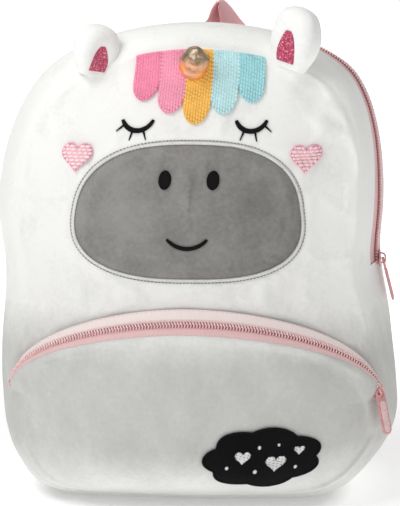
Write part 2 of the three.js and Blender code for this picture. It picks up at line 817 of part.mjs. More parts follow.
function buildHorn(seat) {
  const sides = 14;
  const levels = 12;
  const tilt = hornElevation * degrees;
  const axis = new THREE.Vector3(0.1, -Math.cos(tilt), Math.sin(tilt)).normalize();
  const root = new THREE.Vector3(faceAcross, faceSurface(faceAcross, hornHeight), hornHeight);
  const across = new THREE.Vector3(1, 0, 0).addScaledVector(axis, -axis.x).normalize();
  const lift = new THREE.Vector3().crossVectors(across, axis);
  const sections = Array.from({ length: levels }, (_, level) => {
    const share = level / levels;
    const radius = hornRadius * Math.sqrt(1 - share ** 1.7);
    return Array.from({ length: sides }, (_, side) => {
      const around = (side / sides) * 2 * Math.PI;
      const wound = hornTurns * share - side / sides;
      const bulge = 1 + hornRidge * Math.cos(2 * Math.PI * wound);
      return root
        .clone()
        .addScaledVector(axis, share * (hornLength + hornSink) - hornSink)
        .addScaledVector(across, radius * bulge * Math.cos(around))
        .addScaledVector(lift, radius * bulge * Math.sin(around));
    });
  });
  const foot = root.clone().addScaledVector(axis, -hornSink);
  const tip = root.clone().addScaledVector(axis, hornLength);
  add('horn', cut(rings(sections, foot, tip), seat), hornGold);
}

// Handle: a loop of webbing sewn flat at both ends and turned edge on at the top

function ribbon(stations, count, place, width, thickness) {
  const curve = new THREE.CatmullRomCurve3(stations.map(place), false, 'centripetal');
  const sections = Array.from({ length: count + 1 }, (_, i) => {
    const share = i / count;
    const point = curve.getPoint(share);
    const along = curve.getTangent(share);
    const side = width(share).addScaledVector(along, -width(share).dot(along)).normalize();
    const normal = new THREE.Vector3().crossVectors(along, side);
    return { point, side, normal, share };
  });
  return closedLoft(sections.map(({ point, side, normal, share }) => thickness(point, side, normal, share)));
}

const strip = (wide, thick) => (point, side, normal) =>
  [[-1, -1], [1, -1], [1, 1], [-1, 1]].map(([a, b]) =>
    point.clone().addScaledVector(side, (a * wide) / 2).addScaledVector(normal, (b * thick) / 2),
  );

function stationBlend(stations, key, share) {
  const place = share * (stations.length - 1);
  const first = Math.min(Math.floor(place), stations.length - 2);
  return THREE.MathUtils.lerp(stations[first][key], stations[first + 1][key], place - first);
}

function buildHandle(seat) {
  const root = gussetPoint(0, backDepth, 0);
  const place = ({ across, up }) =>
    new THREE.Vector3(handleAcross + across * handleSpan, root.y - plushWall, root.z + up * handleRise);
  const side = (share) => {
    const turn = stationBlend(handleStations, 'turn', share) * degrees;
    return new THREE.Vector3(Math.cos(turn), Math.sin(turn), 0);
  };
  const loop = ribbon(handleStations, 22, place, side, strip(handleWidth, handleThickness));
  add('handle', cut(loop, seat), webbingPink);
}

// Shoulder straps, each with its webbing, adjuster and anchor

function padSection(stations) {
  return (point, side, normal, share) => {
    const wide = (stationBlend(stations, 'wide', share) * strapWidth) / 2;
    const thick = (stationBlend(stations, 'pad', share) * strapPad) / 2;
    const corners = [[-1, -0.35], [-0.82, -1], [0.82, -1], [1, -0.35], [1, 0.35], [0.82, 1], [-0.82, 1], [-1, 0.35]];
    return corners.map(([a, b]) => point.clone().addScaledVector(side, a * wide).addScaledVector(normal, b * thick));
  };
}

function buildStraps(seat) {
  const across = new THREE.Vector3(1, 0, 0);
  for (const [name, side] of [['left', -1], ['right', 1]]) {
    const strapPlace = ({ down, out }) =>
      new THREE.Vector3(
        side * THREE.MathUtils.lerp(strapTopAcross, strapEndAcross, Math.max(0, down)),
        backDepth + out * strapReach,
        THREE.MathUtils.lerp(strapTopHeight, strapEndHeight, down),
      );
    const strap = ribbon(strapStations, 20, strapPlace, () => across.clone(), padSection(strapStations));
    add(`shoulder_strap_${name}`, cut(strap, seat), webbingPink);

    const end = strapPlace(strapStations.at(-1));
    const before = strapPlace(strapStations.at(-2));
    const leave = end.clone().sub(before).normalize();
    const start = end.clone().addScaledVector(leave, gap);
    const turnIn = start.clone().addScaledVector(leave, webbingTurn);
    const anchorDepth = backSurface(side * anchorAcross, anchorHeight) + softGap + anchorThickness + softGap;
    const finish = new THREE.Vector3(side * anchorAcross, anchorDepth + webbingThickness / 2, anchorHeight);
    const run = finish.clone().sub(turnIn);
    const length = run.length();
    const along = run.normalize();
    const normal = new THREE.Vector3(0, 1, 0).addScaledVector(along, -along.y).normalize();
    const sideways = new THREE.Vector3().crossVectors(along, normal);
    const weave = lockBar / 2 + webbingThickness / 2 + 0.8;
    const centre = lockShare * length;
    const path = [
      [centre - 2.2 * lockPitch, -0.6 * weave],
      [centre - lockPitch, -weave],
      [centre - lockPitch / 2, 0],
      [centre, weave],
      [centre + lockPitch / 2, 0],
      [centre + lockPitch, -weave],
      [centre + 2.2 * lockPitch, -0.6 * weave],
      [length, 0],
    ];
    const webPlace = ([far, off]) => turnIn.clone().addScaledVector(along, far).addScaledVector(normal, off);
    const route = [start, turnIn, ...path.map(webPlace)];
    const web = ribbon(route, 32, (point) => point, () => sideways.clone(), strip(webbingWidth, webbingThickness));
    add(`strap_webbing_${name}`, web, webbingPink);

    const half = { wide: webbingWidth / 2 + 3.5, long: lockPitch + lockBar / 2 };
    const frame = new THREE.Shape([
      new THREE.Vector2(-half.wide, -half.long),
      new THREE.Vector2(half.wide, -half.long),
      new THREE.Vector2(half.wide, half.long),
      new THREE.Vector2(-half.wide, half.long),
    ]);
    const window = { wide: webbingWidth / 2 + 1, near: lockBar / 2, far: lockPitch - lockBar / 2 };
    for (const way of [-1, 1]) {
      frame.holes.push(
        new THREE.Path([
          new THREE.Vector2(-window.wide, way * window.near),
          new THREE.Vector2(window.wide, way * window.near),
          new THREE.Vector2(window.wide, way * window.far),
          new THREE.Vector2(-window.wide, way * window.far),
        ]),
      );
    }
    const adjuster = new THREE.ExtrudeGeometry(frame, { depth: lockBar, steps: 1, bevelEnabled: false });
    adjuster.translate(0, 0, -lockBar / 2);
    const placed = new THREE.Group();
    placed.matrixAutoUpdate = false;
    placed.matrix.makeBasis(new THREE.Vector3().crossVectors(along, normal), along, normal);
    placed.matrix.setPosition(webPlace([centre, 0]));
    object.add(placed);
    add(`strap_adjuster_${name}`, adjuster, webbingPink, placed);

    const tab = new THREE.Shape([
      new THREE.Vector2(side * 0.42 * anchorSize, -0.5 * anchorSize),
      new THREE.Vector2(side * 0.62 * anchorSize, 0.3 * anchorSize),
      new THREE.Vector2(-side * 0.3 * anchorSize, 0.55 * anchorSize),
      new THREE.Vector2(-side * 0.55 * anchorSize, 0.05 * anchorSize),
    ]);
    const anchor = applique(tab, {
      surface: backSurface,
      x: side * anchorAcross,
      z: anchorHeight,
      lift: softGap,
      thickness: anchorThickness,
      out: 1,
    });
    add(`strap_anchor_${name}`, anchor, webbingPink);
  }
}

// Face

const onFace = (x, z, lift = softGap) => ({ surface: faceSurface, x, z, lift, thickness: patchThickness });
const onMuzzle = (x, z) => onFace(x, z, 2 * softGap + patchThickness);

function superEllipse(angle, halfWide, halfTall, power) {
  const [c, s] = [Math.cos(angle), Math.sin(angle)];
  return {
    across: halfWide * Math.sign(c) * Math.abs(c) ** (2 / power),
    up: halfTall * Math.sign(s) * Math.abs(s) ** (2 / power),
  };
}

// A stroke of thread along a hanging arc, with lashes on its outer side
function arcStroke(radius, halfAngle, lashes) {
  const steps = 10;
  const points = [];
  const at = (turn, reach) => new THREE.Vector2(reach * Math.sin(turn), -reach * Math.cos(turn));
  for (let i = 0; i <= steps; i++) {
    const turn = THREE.MathUtils.lerp(-halfAngle, halfAngle, i / steps) * degrees;
    points.push(at(turn, radius + threadWidth / 2));
  }
  const withLashes = lashes.reduce((outer, lash) => {
    const turn = lash * degrees;
    const half = (0.28 * threadWidth) / radius;
    const spike = [at(turn - half, radius + threadWidth / 2), at(turn, radius + threadWidth / 2 + lashLength)];
    spike.push(at(turn + half, radius + threadWidth / 2));
    const angleOf = (p) => Math.atan2(p.x, -p.y);
    return [
      ...outer.filter((p) => angleOf(p) < turn - 1.4 * half),
      ...spike,
      ...outer.filter((p) => angleOf(p) > turn + 1.4 * half),
    ];
  }, points);
  for (let i = steps; i >= 0; i--) {
    const turn = THREE.MathUtils.lerp(-halfAngle, halfAngle, i / steps) * degrees;
    withLashes.push(at(turn, radius - threadWidth / 2));
  }
  return new THREE.Shape(withLashes);
}

function heart(size) {
  const shape = new THREE.Shape();
  const steps = 24;
  for (let i = 0; i < steps; i++) {
    const turn = (i / steps) * 2 * Math.PI;
    const across = Math.sin(turn) ** 3;
    const up = (13 * Math.cos(turn) - 5 * Math.cos(2 * turn) - 2 * Math.cos(3 * turn) - Math.cos(4 * turn)) / 16;
    const point = [(across * size) / 2, (up * size) / 2];
    if (i === 0) shape.moveTo(...point);
    else shape.lineTo(...point);
  }
  shape.closePath();
  return shape;
}

function buildFace() {
  const muzzleEdge = (angle) => {
    const { across, up } = superEllipse(angle, muzzleHalfWidth, muzzleHalfHeight, 2.7);
    return { across: across * (1 - muzzleTaper * (up / muzzleHalfHeight)), up };
  };
  const muzzle = { ...onFace(faceAcross, muzzleHeight), edge: muzzleEdge, around: 32, shares: [0, 0.5, 0.8, 1] };
  add('muzzle', patch(muzzle), greyPlush);
  const nostrilEdge = (angle) => superEllipse(angle, nostrilWidth / 2, nostrilTall / 2, 2);
  for (const [name, side] of [['left', -1], ['right', 1]]) {
    const nostril = onMuzzle(faceAcross + side * nostrilAcross, nostrilHeight);
    add(`nostril_${name}`, patch({ ...nostril, edge: nostrilEdge, around: 12, shares: [0, 1] }), black);
    const lashes = [-22, 14, 50].map((turn) => side * turn).sort((a, b) => a - b);
    const eye = arcStroke(eyeRadius, eyeHalfAngle, lashes);
    add(`eye_${name}`, applique(eye, onFace(faceAcross + side * eyeAcross, eyeHeight)), black);
    add(`cheek_${name}`, applique(heart(cheekSize), onFace(faceAcross + side * cheekAcross, cheekHeight)), cheekPink);
  }
  const smile = arcStroke(mouthRadius, mouthHalfAngle, []);
  add('mouth', applique(smile, onMuzzle(faceAcross, mouthHeight)), black);
}

function buildForelock() {
  const lockWidth = forelockWidth / forelock.length;
  const halfTurn = (lockWidth / 2 - gap) / frontRim(0);
  const longest = Math.max(...forelock.map(({ drop }) => drop));
  forelock.forEach(({ drop, colour }, i) => {
    const centre = (faceAcross + (i - (forelock.length - 1) / 2) * lockWidth) / frontRim(0);
    const roundness = (halfTurn * (1 + forelockFlare)) / drop;
    const skin = (column, row, face) => {
      const across = column / 3 - 1;
      const end = drop * (1 - roundness * (1 - Math.sqrt(1 - Math.min(1, across ** 2))));
      const down = (row / 3) * end;
      const flare = 1 + forelockFlare * (down / longest);
      const point = frontPoint((centre + across * halfTurn) * flare, forelockTop - down);
      return point.setY(point.y - softGap - (1 - face) * patchThickness);
    };
    add(`forelock_${i + 1}`, wall(skin, 6, 3), threads[colour]);
  });
}

function buildCloud() {
  const edge = (angle) => {
    const { across, up } = superEllipse(angle, cloudHalfWidth, cloudHalfHeight, 2);
    const scallop = 1 - 0.13 * (1 - Math.abs(Math.sin((angle * cloudLobes) / 2)));
    return { across: across * scallop, up: up * scallop };
  };
  const place = { surface: pocketSurface, x: cloudAcross, z: cloudHeight, lift: softGap, thickness: patchThickness };
  add('pocket_cloud', patch({ ...place, edge, around: 6 * cloudLobes, shares: [0, 0.4, 0.75, 1] }), black);
}

const sewnSeat = bodySolid(softGap);
const hornSeat = bodySolid(2 * softGap + patchThickness);

buildBody();
buildMainZip();
buildPocket(sewnSeat);
buildEars(sewnSeat);
buildHorn(hornSeat);
buildHandle(sewnSeat);
buildStraps(sewnSeat);
buildFace();
buildForelock();
buildCloud();

export default object;
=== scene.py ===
import math

import bpy
import numpy as np
from mathutils import Matrix, Vector


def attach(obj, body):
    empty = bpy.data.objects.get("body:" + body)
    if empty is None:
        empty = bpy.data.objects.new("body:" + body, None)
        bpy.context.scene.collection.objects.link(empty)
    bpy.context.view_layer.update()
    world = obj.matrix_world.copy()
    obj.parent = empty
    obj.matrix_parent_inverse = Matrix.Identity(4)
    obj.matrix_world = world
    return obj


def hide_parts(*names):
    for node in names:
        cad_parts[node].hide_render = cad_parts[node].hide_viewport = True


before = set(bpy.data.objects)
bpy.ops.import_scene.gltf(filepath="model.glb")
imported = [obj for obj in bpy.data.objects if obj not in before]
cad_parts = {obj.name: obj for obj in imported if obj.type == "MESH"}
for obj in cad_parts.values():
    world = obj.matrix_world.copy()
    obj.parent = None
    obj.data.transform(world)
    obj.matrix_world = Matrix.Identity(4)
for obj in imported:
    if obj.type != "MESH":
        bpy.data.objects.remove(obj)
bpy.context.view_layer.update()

# Plush unicorn backpack for a small child. Sizes are in millimetres and become metres
# where a mesh is made. +Z is up and the face looks along -Y.
MM = 0.001
TAU = 2 * math.pi

# Body form
body_width = 262
body_height = 305
hub = 0.49 * body_height
front_depth = {"top": 34, "side": 38, "bottom": 46}
front_inset = {"top": 12, "side": 15, "bottom": 3}
front_centre = 58
back_depth = 52
back_inset = {"top": 20, "side": 9, "bottom": 3}
back_centre = 55
crest = {"top": -8, "side": 20, "bottom": 0}
flat_band = {"top": 0, "side": 4, "bottom": 34}
panel_fullness = 2.5
outline = [
    (0, 0), (0.3, 0), (0.52, 0), (0.69, 0.008), (0.81, 0.033), (0.92, 0.088), (0.985, 0.152),
    (1, 0.235), (0.977, 0.36), (0.945, 0.475), (0.95, 0.6), (0.94, 0.68), (0.91, 0.77),
    (0.857, 0.84), (0.765, 0.9), (0.6, 0.948), (0.34, 0.985), (0, 1),
]

# Cloth
plush_wall = 3
back_wall = 5
patch_thickness = 1.2
gap = 0.3
soft_gap = 0.5
seam_tuck = 1.25  # how deep the cloth turns in at a seam
seam_reach = 3.2  # how far from a seam it begins to turn
hem_radius = 2.8  # of the plush edge rolled in beside a zip

# Zips
main_zip_depth = {"top": 14, "side": 6, "bottom": 6}
tape_width = 9.2
tape_thickness = 1.0
tape_sink = 0.9
coil_width = 4.2
coil_rise = 1.5
tooth_pitch = 1.9
main_slider_angle = 87.5
slider_width = 8.4
slider_length = 10.4
slider_plate = 1.4
crown_height = 5
crown_wire = 1.2
pull_length = 29
pull_width = 6.4
pull_thickness = 1.7
pull_eye = 4
pull_lift = 1.1
pull_lean = 0.18

# Pocket
arch_base = 74
arch_rise = 57.5
arch_inset = 2
band_drop = 14.5
band_ledge = 14
band_end = 4
pocket_inset = 3
pocket_hub = 58
pocket_centre = 87
pocket_fullness = 2.6
pocket_slider_angle = 13

# Ears and horn
ear_seam_angle = 26.5
ear_sink = 7
ear_turn = 38
ears = {  # fold is how far the stuffed ear has sunk and slid from its full form
    "left": {
        "side": -1, "lean": 12, "length": 36, "width": 32, "thickness": 22, "fold": 0.74, "slide": (-2.6, 0, 0.5),
    },
    "right": {
        "side": 1, "lean": 14, "length": 43, "width": 36, "thickness": 24, "fold": 0.78, "slide": (-5, 0, 4.5),
    },
}
ear_rings = np.array([
    (0, 0.6, 0.6), (0.1, 0.72, 0.72), (0.3, 0.93, 0.95), (0.52, 1, 1), (0.72, 0.93, 0.92),
    (0.87, 0.76, 0.74), (0.96, 0.46, 0.46), (1, 0, 0),
])
horn_height = 279
horn_length = 28
horn_radius = 10.4
horn_elevation = 28
horn_turns = 3.2
horn_sink = 6
horn_lift = 2.5  # the soft horn has moved a little from its seat's middle
horn_shift = 4
horn_settle = 0.93
horn_shrink = 0.74  # of its length: the soft tip has sunk in

# Straps and handle
handle_width = 19
handle_thickness = 2
handle_across = 12
handle_span = 27
handle_rise = 34
handle_stations = np.array([  # across, up, turn; the loop is folded together at its top
    (-0.5, -0.25, 0), (-0.42, 0.1, 8), (-0.13, 0.42, 44), (-0.07, 0.7, 66), (-0.02, 0.84, 86),
    (0.09, 0.7, 66), (0.25, 0.42, 44), (0.44, 0.1, 8), (0.5, -0.25, 0),
])
strap_width = 44
strap_pad = 9
strap_top_height = 268
strap_top_across = 32
strap_end_height = 112
strap_end_across = 46
strap_reach = 33
strap_stations = np.array([
    (-0.03, -0.2, 1, 0.7), (0.02, 0.16, 1, 0.75), (0.1, 0.55, 1, 1), (0.28, 0.93, 1, 1),
    (0.52, 1, 1, 1), (0.76, 0.86, 0.94, 1), (0.93, 0.67, 0.82, 0.9), (1, 0.58, 0.62, 0.6),
])
webbing_width = 20
webbing_thickness = 1.5
webbing_turn = 9
anchor_across = 90
anchor_height = 40
anchor_size = 34
anchor_thickness = 2
lock_bar = 2.2
lock_pitch = 8
lock_share = 0.33

# Face
face_across = 1.5
muzzle_height = 192
muzzle_half_width = 71
muzzle_half_height = 42.5
muzzle_taper = 0.09
muzzle_power = 2.7
nostril_across = 15
nostril_height = 212
nostril_width = 8
nostril_tall = 12
mouth_height = 187
mouth_radius = 17
mouth_half_angle = 48
thread_width = 3
eye_across = 36
eye_height = 252
eye_radius = 10.5
eye_half_angle = 68
lash_length = 5
cheek_across = 72
cheek_height = 226
cheek_size = 19
forelock_width = 84
forelock_flare = 0.42
forelock_top = 0.985
forelock = [(0.19, "rose"), (0.26, "pink"), (0.31, "honey"), (0.26, "aqua"), (0.19, "teal")]
cloud_across = 44
cloud_height = 41
cloud_half_width = 38
cloud_half_height = 22
cloud_lobes = 7


# The stuffed bag slumps a little to one side: how far its middle leans and its half width
# changes, by height
slump_heights = [0, 25, 50, 75, 100, 130, 160, 190, 220, 250, 280, 310]
slump_leans = [-1.3, 2.0, 5.6, 4.1, 2.1, 1.1, -1.7, -2.2, -0.4, 2.6, 5.9, 4.6]
slump_widths = [-2.0, -1.7, -1.0, -1.2, -1.5, -2.2, -2.5, -0.5, -1.4, -4.0, -6.0, -7.0]
zip_turn = 2.6  # how far the cloth beside the right part of the main zip is turned to the front


# Body surfaces

def smooth_curve(points, at, closed=False):
    """Points on a smooth curve through the given ones, at places counted in its spans."""
    points = np.asarray(points, float)
    count = len(points)
    if closed:
        first = np.floor(at).astype(int)
        share = at - first
        near = [points[(first + k) % count] for k in (-1, 0, 1, 2)]
    else:
        first = np.clip(np.floor(at).astype(int), 0, count - 2)
        share = at - first
        padded = np.vstack([2 * points[0] - points[1], points, 2 * points[-1] - points[-2]])
        near = [padded[first + k] for k in (0, 1, 2, 3)]
    p0, p1, p2, p3 = near
    steps = []
    for a, b in ((p0, p1), (p1, p2), (p2, p3)):
        steps.append(np.sqrt(np.linalg.norm(b - a, axis=-1))[..., None])
    d0, d1, d2 = steps
    leave = ((p1 - p0) / d0 - (p2 - p0) / (d0 + d1) + (p2 - p1) / d1) * d1
    arrive = ((p2 - p1) / d1 - (p3 - p1) / (d1 + d2) + (p3 - p2) / d2) * d1
    w = share[..., None]
    bend = (-3 * p1 + 3 * p2 - 2 * leave - arrive) * w**2 + (2 * p1 - 2 * p2 + leave + arrive) * w**3
    return p1 + leave * w + bend


def polar(points, centre_height):
    """Distance from a centre to a closed outline, by direction: 0 is up and +X is a quarter turn."""
    angle = np.arctan2(points[:, 0], points[:, 1] - centre_height)
    reach = np.hypot(points[:, 0], points[:, 1] - centre_height)
    order = np.argsort(angle)
    return lambda at: np.interp(at, angle[order], reach[order], period=TAU)


right_side = np.array([(across * body_width / 2, up * body_height) for across, up in outline])
left_side = right_side[1:-1][::-1] * (-1, 1)
loop = np.vstack([right_side, left_side])
body_outline = smooth_curve(loop, np.arange(1440) / 1440 * len(loop), closed=True)
body_outline[:, 1] = np.maximum(0, body_outline[:, 1])
ring_radius = polar(body_outline, hub)


def mix(angle, share):
    upright = np.cos(angle)
    ends = np.where(upright > 0, share["top"], share["bottom"])
    return ends * upright**2 + share["side"] * np.sin(angle) ** 2


def gusset_radius(angle, depth):
    top = mix(angle, crest)
    ahead = depth < top
    inset = np.where(ahead, mix(angle, front_inset), mix(angle, back_inset))
    reach = np.where(ahead, mix(angle, front_depth) + top, back_depth - top)
    flat = mix(angle, flat_band)
    share = np.maximum(0, np.abs(depth - top) - flat) / (reach - flat)
    return ring_radius(angle) - inset * share**2 + zip_lean(angle, depth)


def ease(value, low, high):
    share = np.clip((value - low) / (high - low), 0, 1)
    return share * share * (3 - 2 * share)


def zip_lean(angle, depth):
    """The bag is turned a little: the zip looks to the front on its right and back on its left."""
    turned = (angle + math.pi) % TAU - math.pi
    window = ease(turned, 0.2, 0.75) * (1 - ease(turned, 1.62, 2.2))
    window = window - 0.8 * ease(-turned, 0.3, 0.8) * (1 - ease(-turned, 1.62, 2.2))
    off = (depth - mix(angle, main_zip_depth)) / 12
    return zip_turn * window * off * np.exp((1 - off**2) / 2)


def polar_point(angle, radius, depth):
    angle, radius, depth = np.broadcast_arrays(angle, radius, depth)
    return np.stack([radius * np.sin(angle), depth, hub + radius * np.cos(angle)], -1).astype(float)


def gusset_point(angle, depth, sunk=0):
    return polar_point(angle, gusset_radius(angle, depth) - sunk, depth)


def dome(centre, rim, share, fullness):
    return centre + (rim - centre) * share**fullness


def front_rim(angle, sunk=0):
    return gusset_radius(angle, sunk - mix(angle, front_depth)) - sunk - gap


def back_rim(angle, sunk=0):
    return gusset_radius(angle, back_depth - sunk) - sunk - gap


def front_point(angle, share, sunk=0):
    depth = -dome(front_centre, mix(angle, front_depth), share, panel_fullness) + sunk
    return polar_point(angle, share * front_rim(angle, sunk), depth)


def back_point(angle, share, sunk=0):
    depth = dome(back_centre, back_depth, share, panel_fullness) - sunk
    return polar_point(angle, share * back_rim(angle, sunk), depth)


def face_surface(x, z):
    angle = np.arctan2(x, z - hub)
    share = np.minimum(1, np.hypot(x, z - hub) / front_rim(angle))
    return -dome(front_centre, mix(angle, front_depth), share, panel_fullness)


def back_surface(x, z):
    angle = np.arctan2(x, z - hub)
    share = np.minimum(1, np.hypot(x, z - hub) / back_rim(angle))
    return dome(back_centre, back_depth, share, panel_fullness)


def seam_angle_at(height):
    angles = np.linspace(math.pi / 4, math.pi, 4001)
    heights = hub + front_rim(angles) * np.cos(angles)
    return float(np.interp(-height, -heights, angles))


arch_end = seam_angle_at(arch_base)
arch_half = float(front_rim(arch_end) * math.sin(arch_end)) - arch_inset


def upper_edge(turn):
    return arch_half * np.cos(turn), arch_base + arch_rise * np.sin(turn)


def lower_edge(turn):
    half = arch_half - pocket_inset + arch_inset
    return half * np.cos(turn), arch_base + (arch_rise - band_drop) * np.sin(turn)


def pocket_edge_depth(x, z):
    raised = np.clip((z - arch_base) / (arch_rise - band_drop), 0, 1)
    return face_surface(x, z) - soft_gap - plush_wall - band_ledge * np.sqrt(raised)


def pocket_outline():
    turn = np.linspace(0, math.pi, 700, endpoint=False)
    arch = np.stack(lower_edge(turn), -1)
    angle = np.linspace(TAU - arch_end, arch_end, 500, endpoint=False)
    radius = front_rim(angle) - pocket_inset
    floor = np.stack([radius * np.sin(angle), hub + radius * np.cos(angle)], -1)
    return np.vstack([arch, floor])


pocket_radius = polar(pocket_outline(), pocket_hub)


def pocket_point(angle, share):
    radius = pocket_radius(angle)
    rim = pocket_edge_depth(radius * np.sin(angle), pocket_hub + radius * np.cos(angle))
    depth = dome(-pocket_centre, rim, share, pocket_fullness)
    x = radius * share * np.sin(angle)
    z = pocket_hub + radius * share * np.cos(angle)
    return np.stack(np.broadcast_arrays(x, depth, z), -1).astype(float)


def soft_table(values, reach):
    """A closed table by direction with its corners rounded over the given reach in degrees."""
    steps = len(values)
    turn = (np.arange(steps) + steps // 2) % steps - steps // 2
    kernel = np.exp(-((turn * 360 / steps / reach) ** 2) / 2)
    return np.fft.ifft(np.fft.fft(values) * np.fft.fft(kernel / kernel.sum())).real


soft_angle = np.linspace(0, TAU, 720, endpoint=False)
soft_radius = soft_table(pocket_radius(soft_angle), 9)
soft_rim = soft_table(pocket_point(soft_angle[None], np.ones((1, 1)))[0, :, 1], 14)


def pocket_surface(x, z):
    """Depth of the pocket's round, without the creases that its corners would send inwards."""
    x, z = np.broadcast_arrays(x, z)
    angle = np.arctan2(x, z - pocket_hub)
    reach = np.hypot(x, z - pocket_hub)
    radius = pocket_radius(angle)
    share = np.minimum(1, reach / radius)
    rim = pocket_edge_depth(radius * np.sin(angle), pocket_hub + radius * np.cos(angle))
    near = share ** 7
    rim = near * rim + (1 - near) * np.interp(angle, soft_angle, soft_rim, period=TAU)
    radius = near * radius + (1 - near) * np.interp(angle, soft_angle, soft_radius, period=TAU)
    return dome(-pocket_centre, rim, np.minimum(1, reach / radius), pocket_fullness)


def band_edges(turn):
    x, z = upper_edge(turn)
    top = np.stack([x, face_surface(x, z) - soft_gap - 1.3, z], -1)
    x, z = lower_edge(turn)
    clear = gap + 1.3
    rim = pocket_edge_depth(x, z)
    bottom = np.stack([x + clear * np.cos(turn), rim, z + clear * np.sin(turn)], -1)
    return top, bottom


def band_point(turn, across, raised=0.0):
    """A place on the pocket's zip band: across 0 at its upper edge, 1 at its lower one."""
    def at(turned):
        top, bottom = band_edges(turned)
        return top, bottom
    turn, across, raised = np.broadcast_arrays(turn, across, raised)
    top, bottom = at(turn)
    before, after = at(turn - 0.01), at(turn + 0.01)
    along = (after[0] + after[1] - before[0] - before[1]) / 2
    normal = unit(np.cross(along, bottom - top))
    normal = np.where(normal[..., 1:2] > 0, -normal, normal)
    return top + (bottom - top) * across[..., None] + normal * raised[..., None]


def unit(vectors):
    return vectors / np.maximum(np.linalg.norm(vectors, axis=-1, keepdims=True), 1e-9)


# Softness of the stuffed cloth

def slump(points):
    """The places of a piece after the bag has slumped."""
    fine = np.arange(-60, 400)
    kernel = np.exp(-((np.arange(-24, 25) / 8.0) ** 2) / 2)
    kernel /= kernel.sum()
    moved = points.copy()
    for table, share in ((slump_leans, 1.0), (slump_widths, points[:, 0] / (body_width / 2))):
        smooth = np.convolve(np.interp(fine, slump_heights, table), kernel, mode="same")
        moved[:, 0] += np.interp(np.clip(points[:, 2], 0, 345), fine, smooth) * share
    return moved


def ripple(points, wavelength, seed, waves=14):
    """A smooth uneven field of about -1 to 1 with one main wavelength."""
    rng = np.random.default_rng(seed)
    direction = unit(rng.normal(size=(waves, points.shape[-1])))
    length = wavelength * rng.uniform(0.8, 1.35, waves)
    phase = rng.uniform(0, TAU, waves)
    turns = points @ (direction / length[:, None]).T * TAU + phase
    return np.cos(turns).sum(-1) / waves * 2


def bell(distance, reach):
    return np.exp(-((distance / reach) ** 2))


def arch_distance(x, z):
    """How far a place on the face lies outside the upper edge of the pocket's zip."""
    across, up = x / arch_half, np.maximum((z - arch_base) / arch_rise, 0)
    reach = np.maximum(np.hypot(across, up), 1e-6)
    slope = np.hypot(across / arch_half, up / arch_rise) / reach
    return (reach - 1) / np.maximum(slope, 1e-6)


def muzzle_reach(x, z):
    """Place on the muzzle as a share of its edge: 0 in its middle and 1 at its rim."""
    up = (z - muzzle_height) / muzzle_half_height
    across = (x - face_across) / (muzzle_half_width * (1 - muzzle_taper * np.clip(up, -1.2, 1.2)))
    return (np.abs(across) ** muzzle_power + np.abs(up) ** muzzle_power) ** (1 / muzzle_power)


def muzzle_distance(x, z):
    reach = np.maximum(muzzle_reach(x, z), 0.05)
    return np.hypot(x - face_across, z - muzzle_height) * (1 - 1 / reach) * 0.9


def face_relief(x, z):
    """How far the plush of the face stands proud of its plain form."""
    place = np.stack([x, z], -1)
    relief = 1.1 * ripple(place, 95, 3) + 0.45 * ripple(place, 38, 4)
    zip_line = arch_distance(x, z)
    above = np.clip((z - arch_base) / 12, 0, 1)
    folds = 0.5 + 0.5 * ripple(place * (1, 0.35), 34, 5)
    relief += above * (2.4 * folds * bell(zip_line - 9, 7) - 0.8 * bell(zip_line, 2.2))
    relief -= 0.9 * bell(muzzle_distance(x, z), 3.2)
    return relief


def pocket_relief(x, z):
    place = np.stack([x, z], -1)
    angle = np.arctan2(x, z - pocket_hub)
    edge = (1 - np.hypot(x, z - pocket_hub) / pocket_radius(angle)) * pocket_radius(angle)
    gathers = ripple(np.stack([x, 0 * z], -1), 30, 8)
    relief = 1.2 * ripple(place, 80, 6) + 0.5 * ripple(place, 34, 7)
    return relief * (1 - bell(edge, 9)) + 0.55 * gathers * bell(edge - 9, 9)


def face_depth(x, z):
    x, z = np.broadcast_arrays(x, z)
    depth = face_surface(x, z) - face_relief(x, z)
    if "face" in settled:
        angle = np.arctan2(x, z - hub)
        share = np.hypot(x, z - hub) / front_rim(angle)
        depth = depth - panel_relief(settled["face"], share, angle)
    return depth


def pocket_depth(x, z):
    x, z = np.broadcast_arrays(x, z)
    depth = pocket_surface(x, z) - pocket_relief(x, z)
    if "pocket" in settled:
        angle = np.arctan2(x, z - pocket_hub)
        share = np.hypot(x, z - pocket_hub) / pocket_radius(angle)
        depth = depth - panel_relief(settled["pocket"], share, angle)
    return depth


settled = {}  # tables of how far each panel has settled


# Meshes

def unit_normals(points, closed):
    around = np.gradient(points, axis=1)
    if closed:
        around = np.roll(points, -1, 1) - np.roll(points, 1, 1)
    return unit(np.cross(around, np.gradient(points, axis=0)))


def finish_mesh(name, points, faces, material, uv=None, smooth=True):
    mesh = bpy.data.meshes.new(name)
    mesh.from_pydata((np.asarray(points) * MM).tolist(), [], faces)
    mesh.materials.append(material)
    if uv is not None:
        corners = np.empty(len(mesh.loops), np.int32)
        mesh.loops.foreach_get("vertex_index", corners)
        layer = mesh.uv_layers.new(name="UVMap")
        layer.data.foreach_set("uv", (np.asarray(uv)[corners] * MM).astype(np.float32).ravel())
    mesh.polygons.foreach_set("use_smooth", np.full(len(mesh.polygons), smooth))
    mesh.validate()
    obj = bpy.data.objects.new(name, mesh)
    bpy.context.scene.collection.objects.link(obj)
    return obj


def signed_volume(points, faces):
    total = 0.0
    quads = np.array([f if len(f) == 4 else (*f, f[-1]) for f in faces])
    p = points[quads]
    for i, j in ((1, 2), (2, 3)):
        total += np.einsum("ij,ij->i", p[:, 0], np.cross(p[:, i], p[:, j])).sum()
    return total


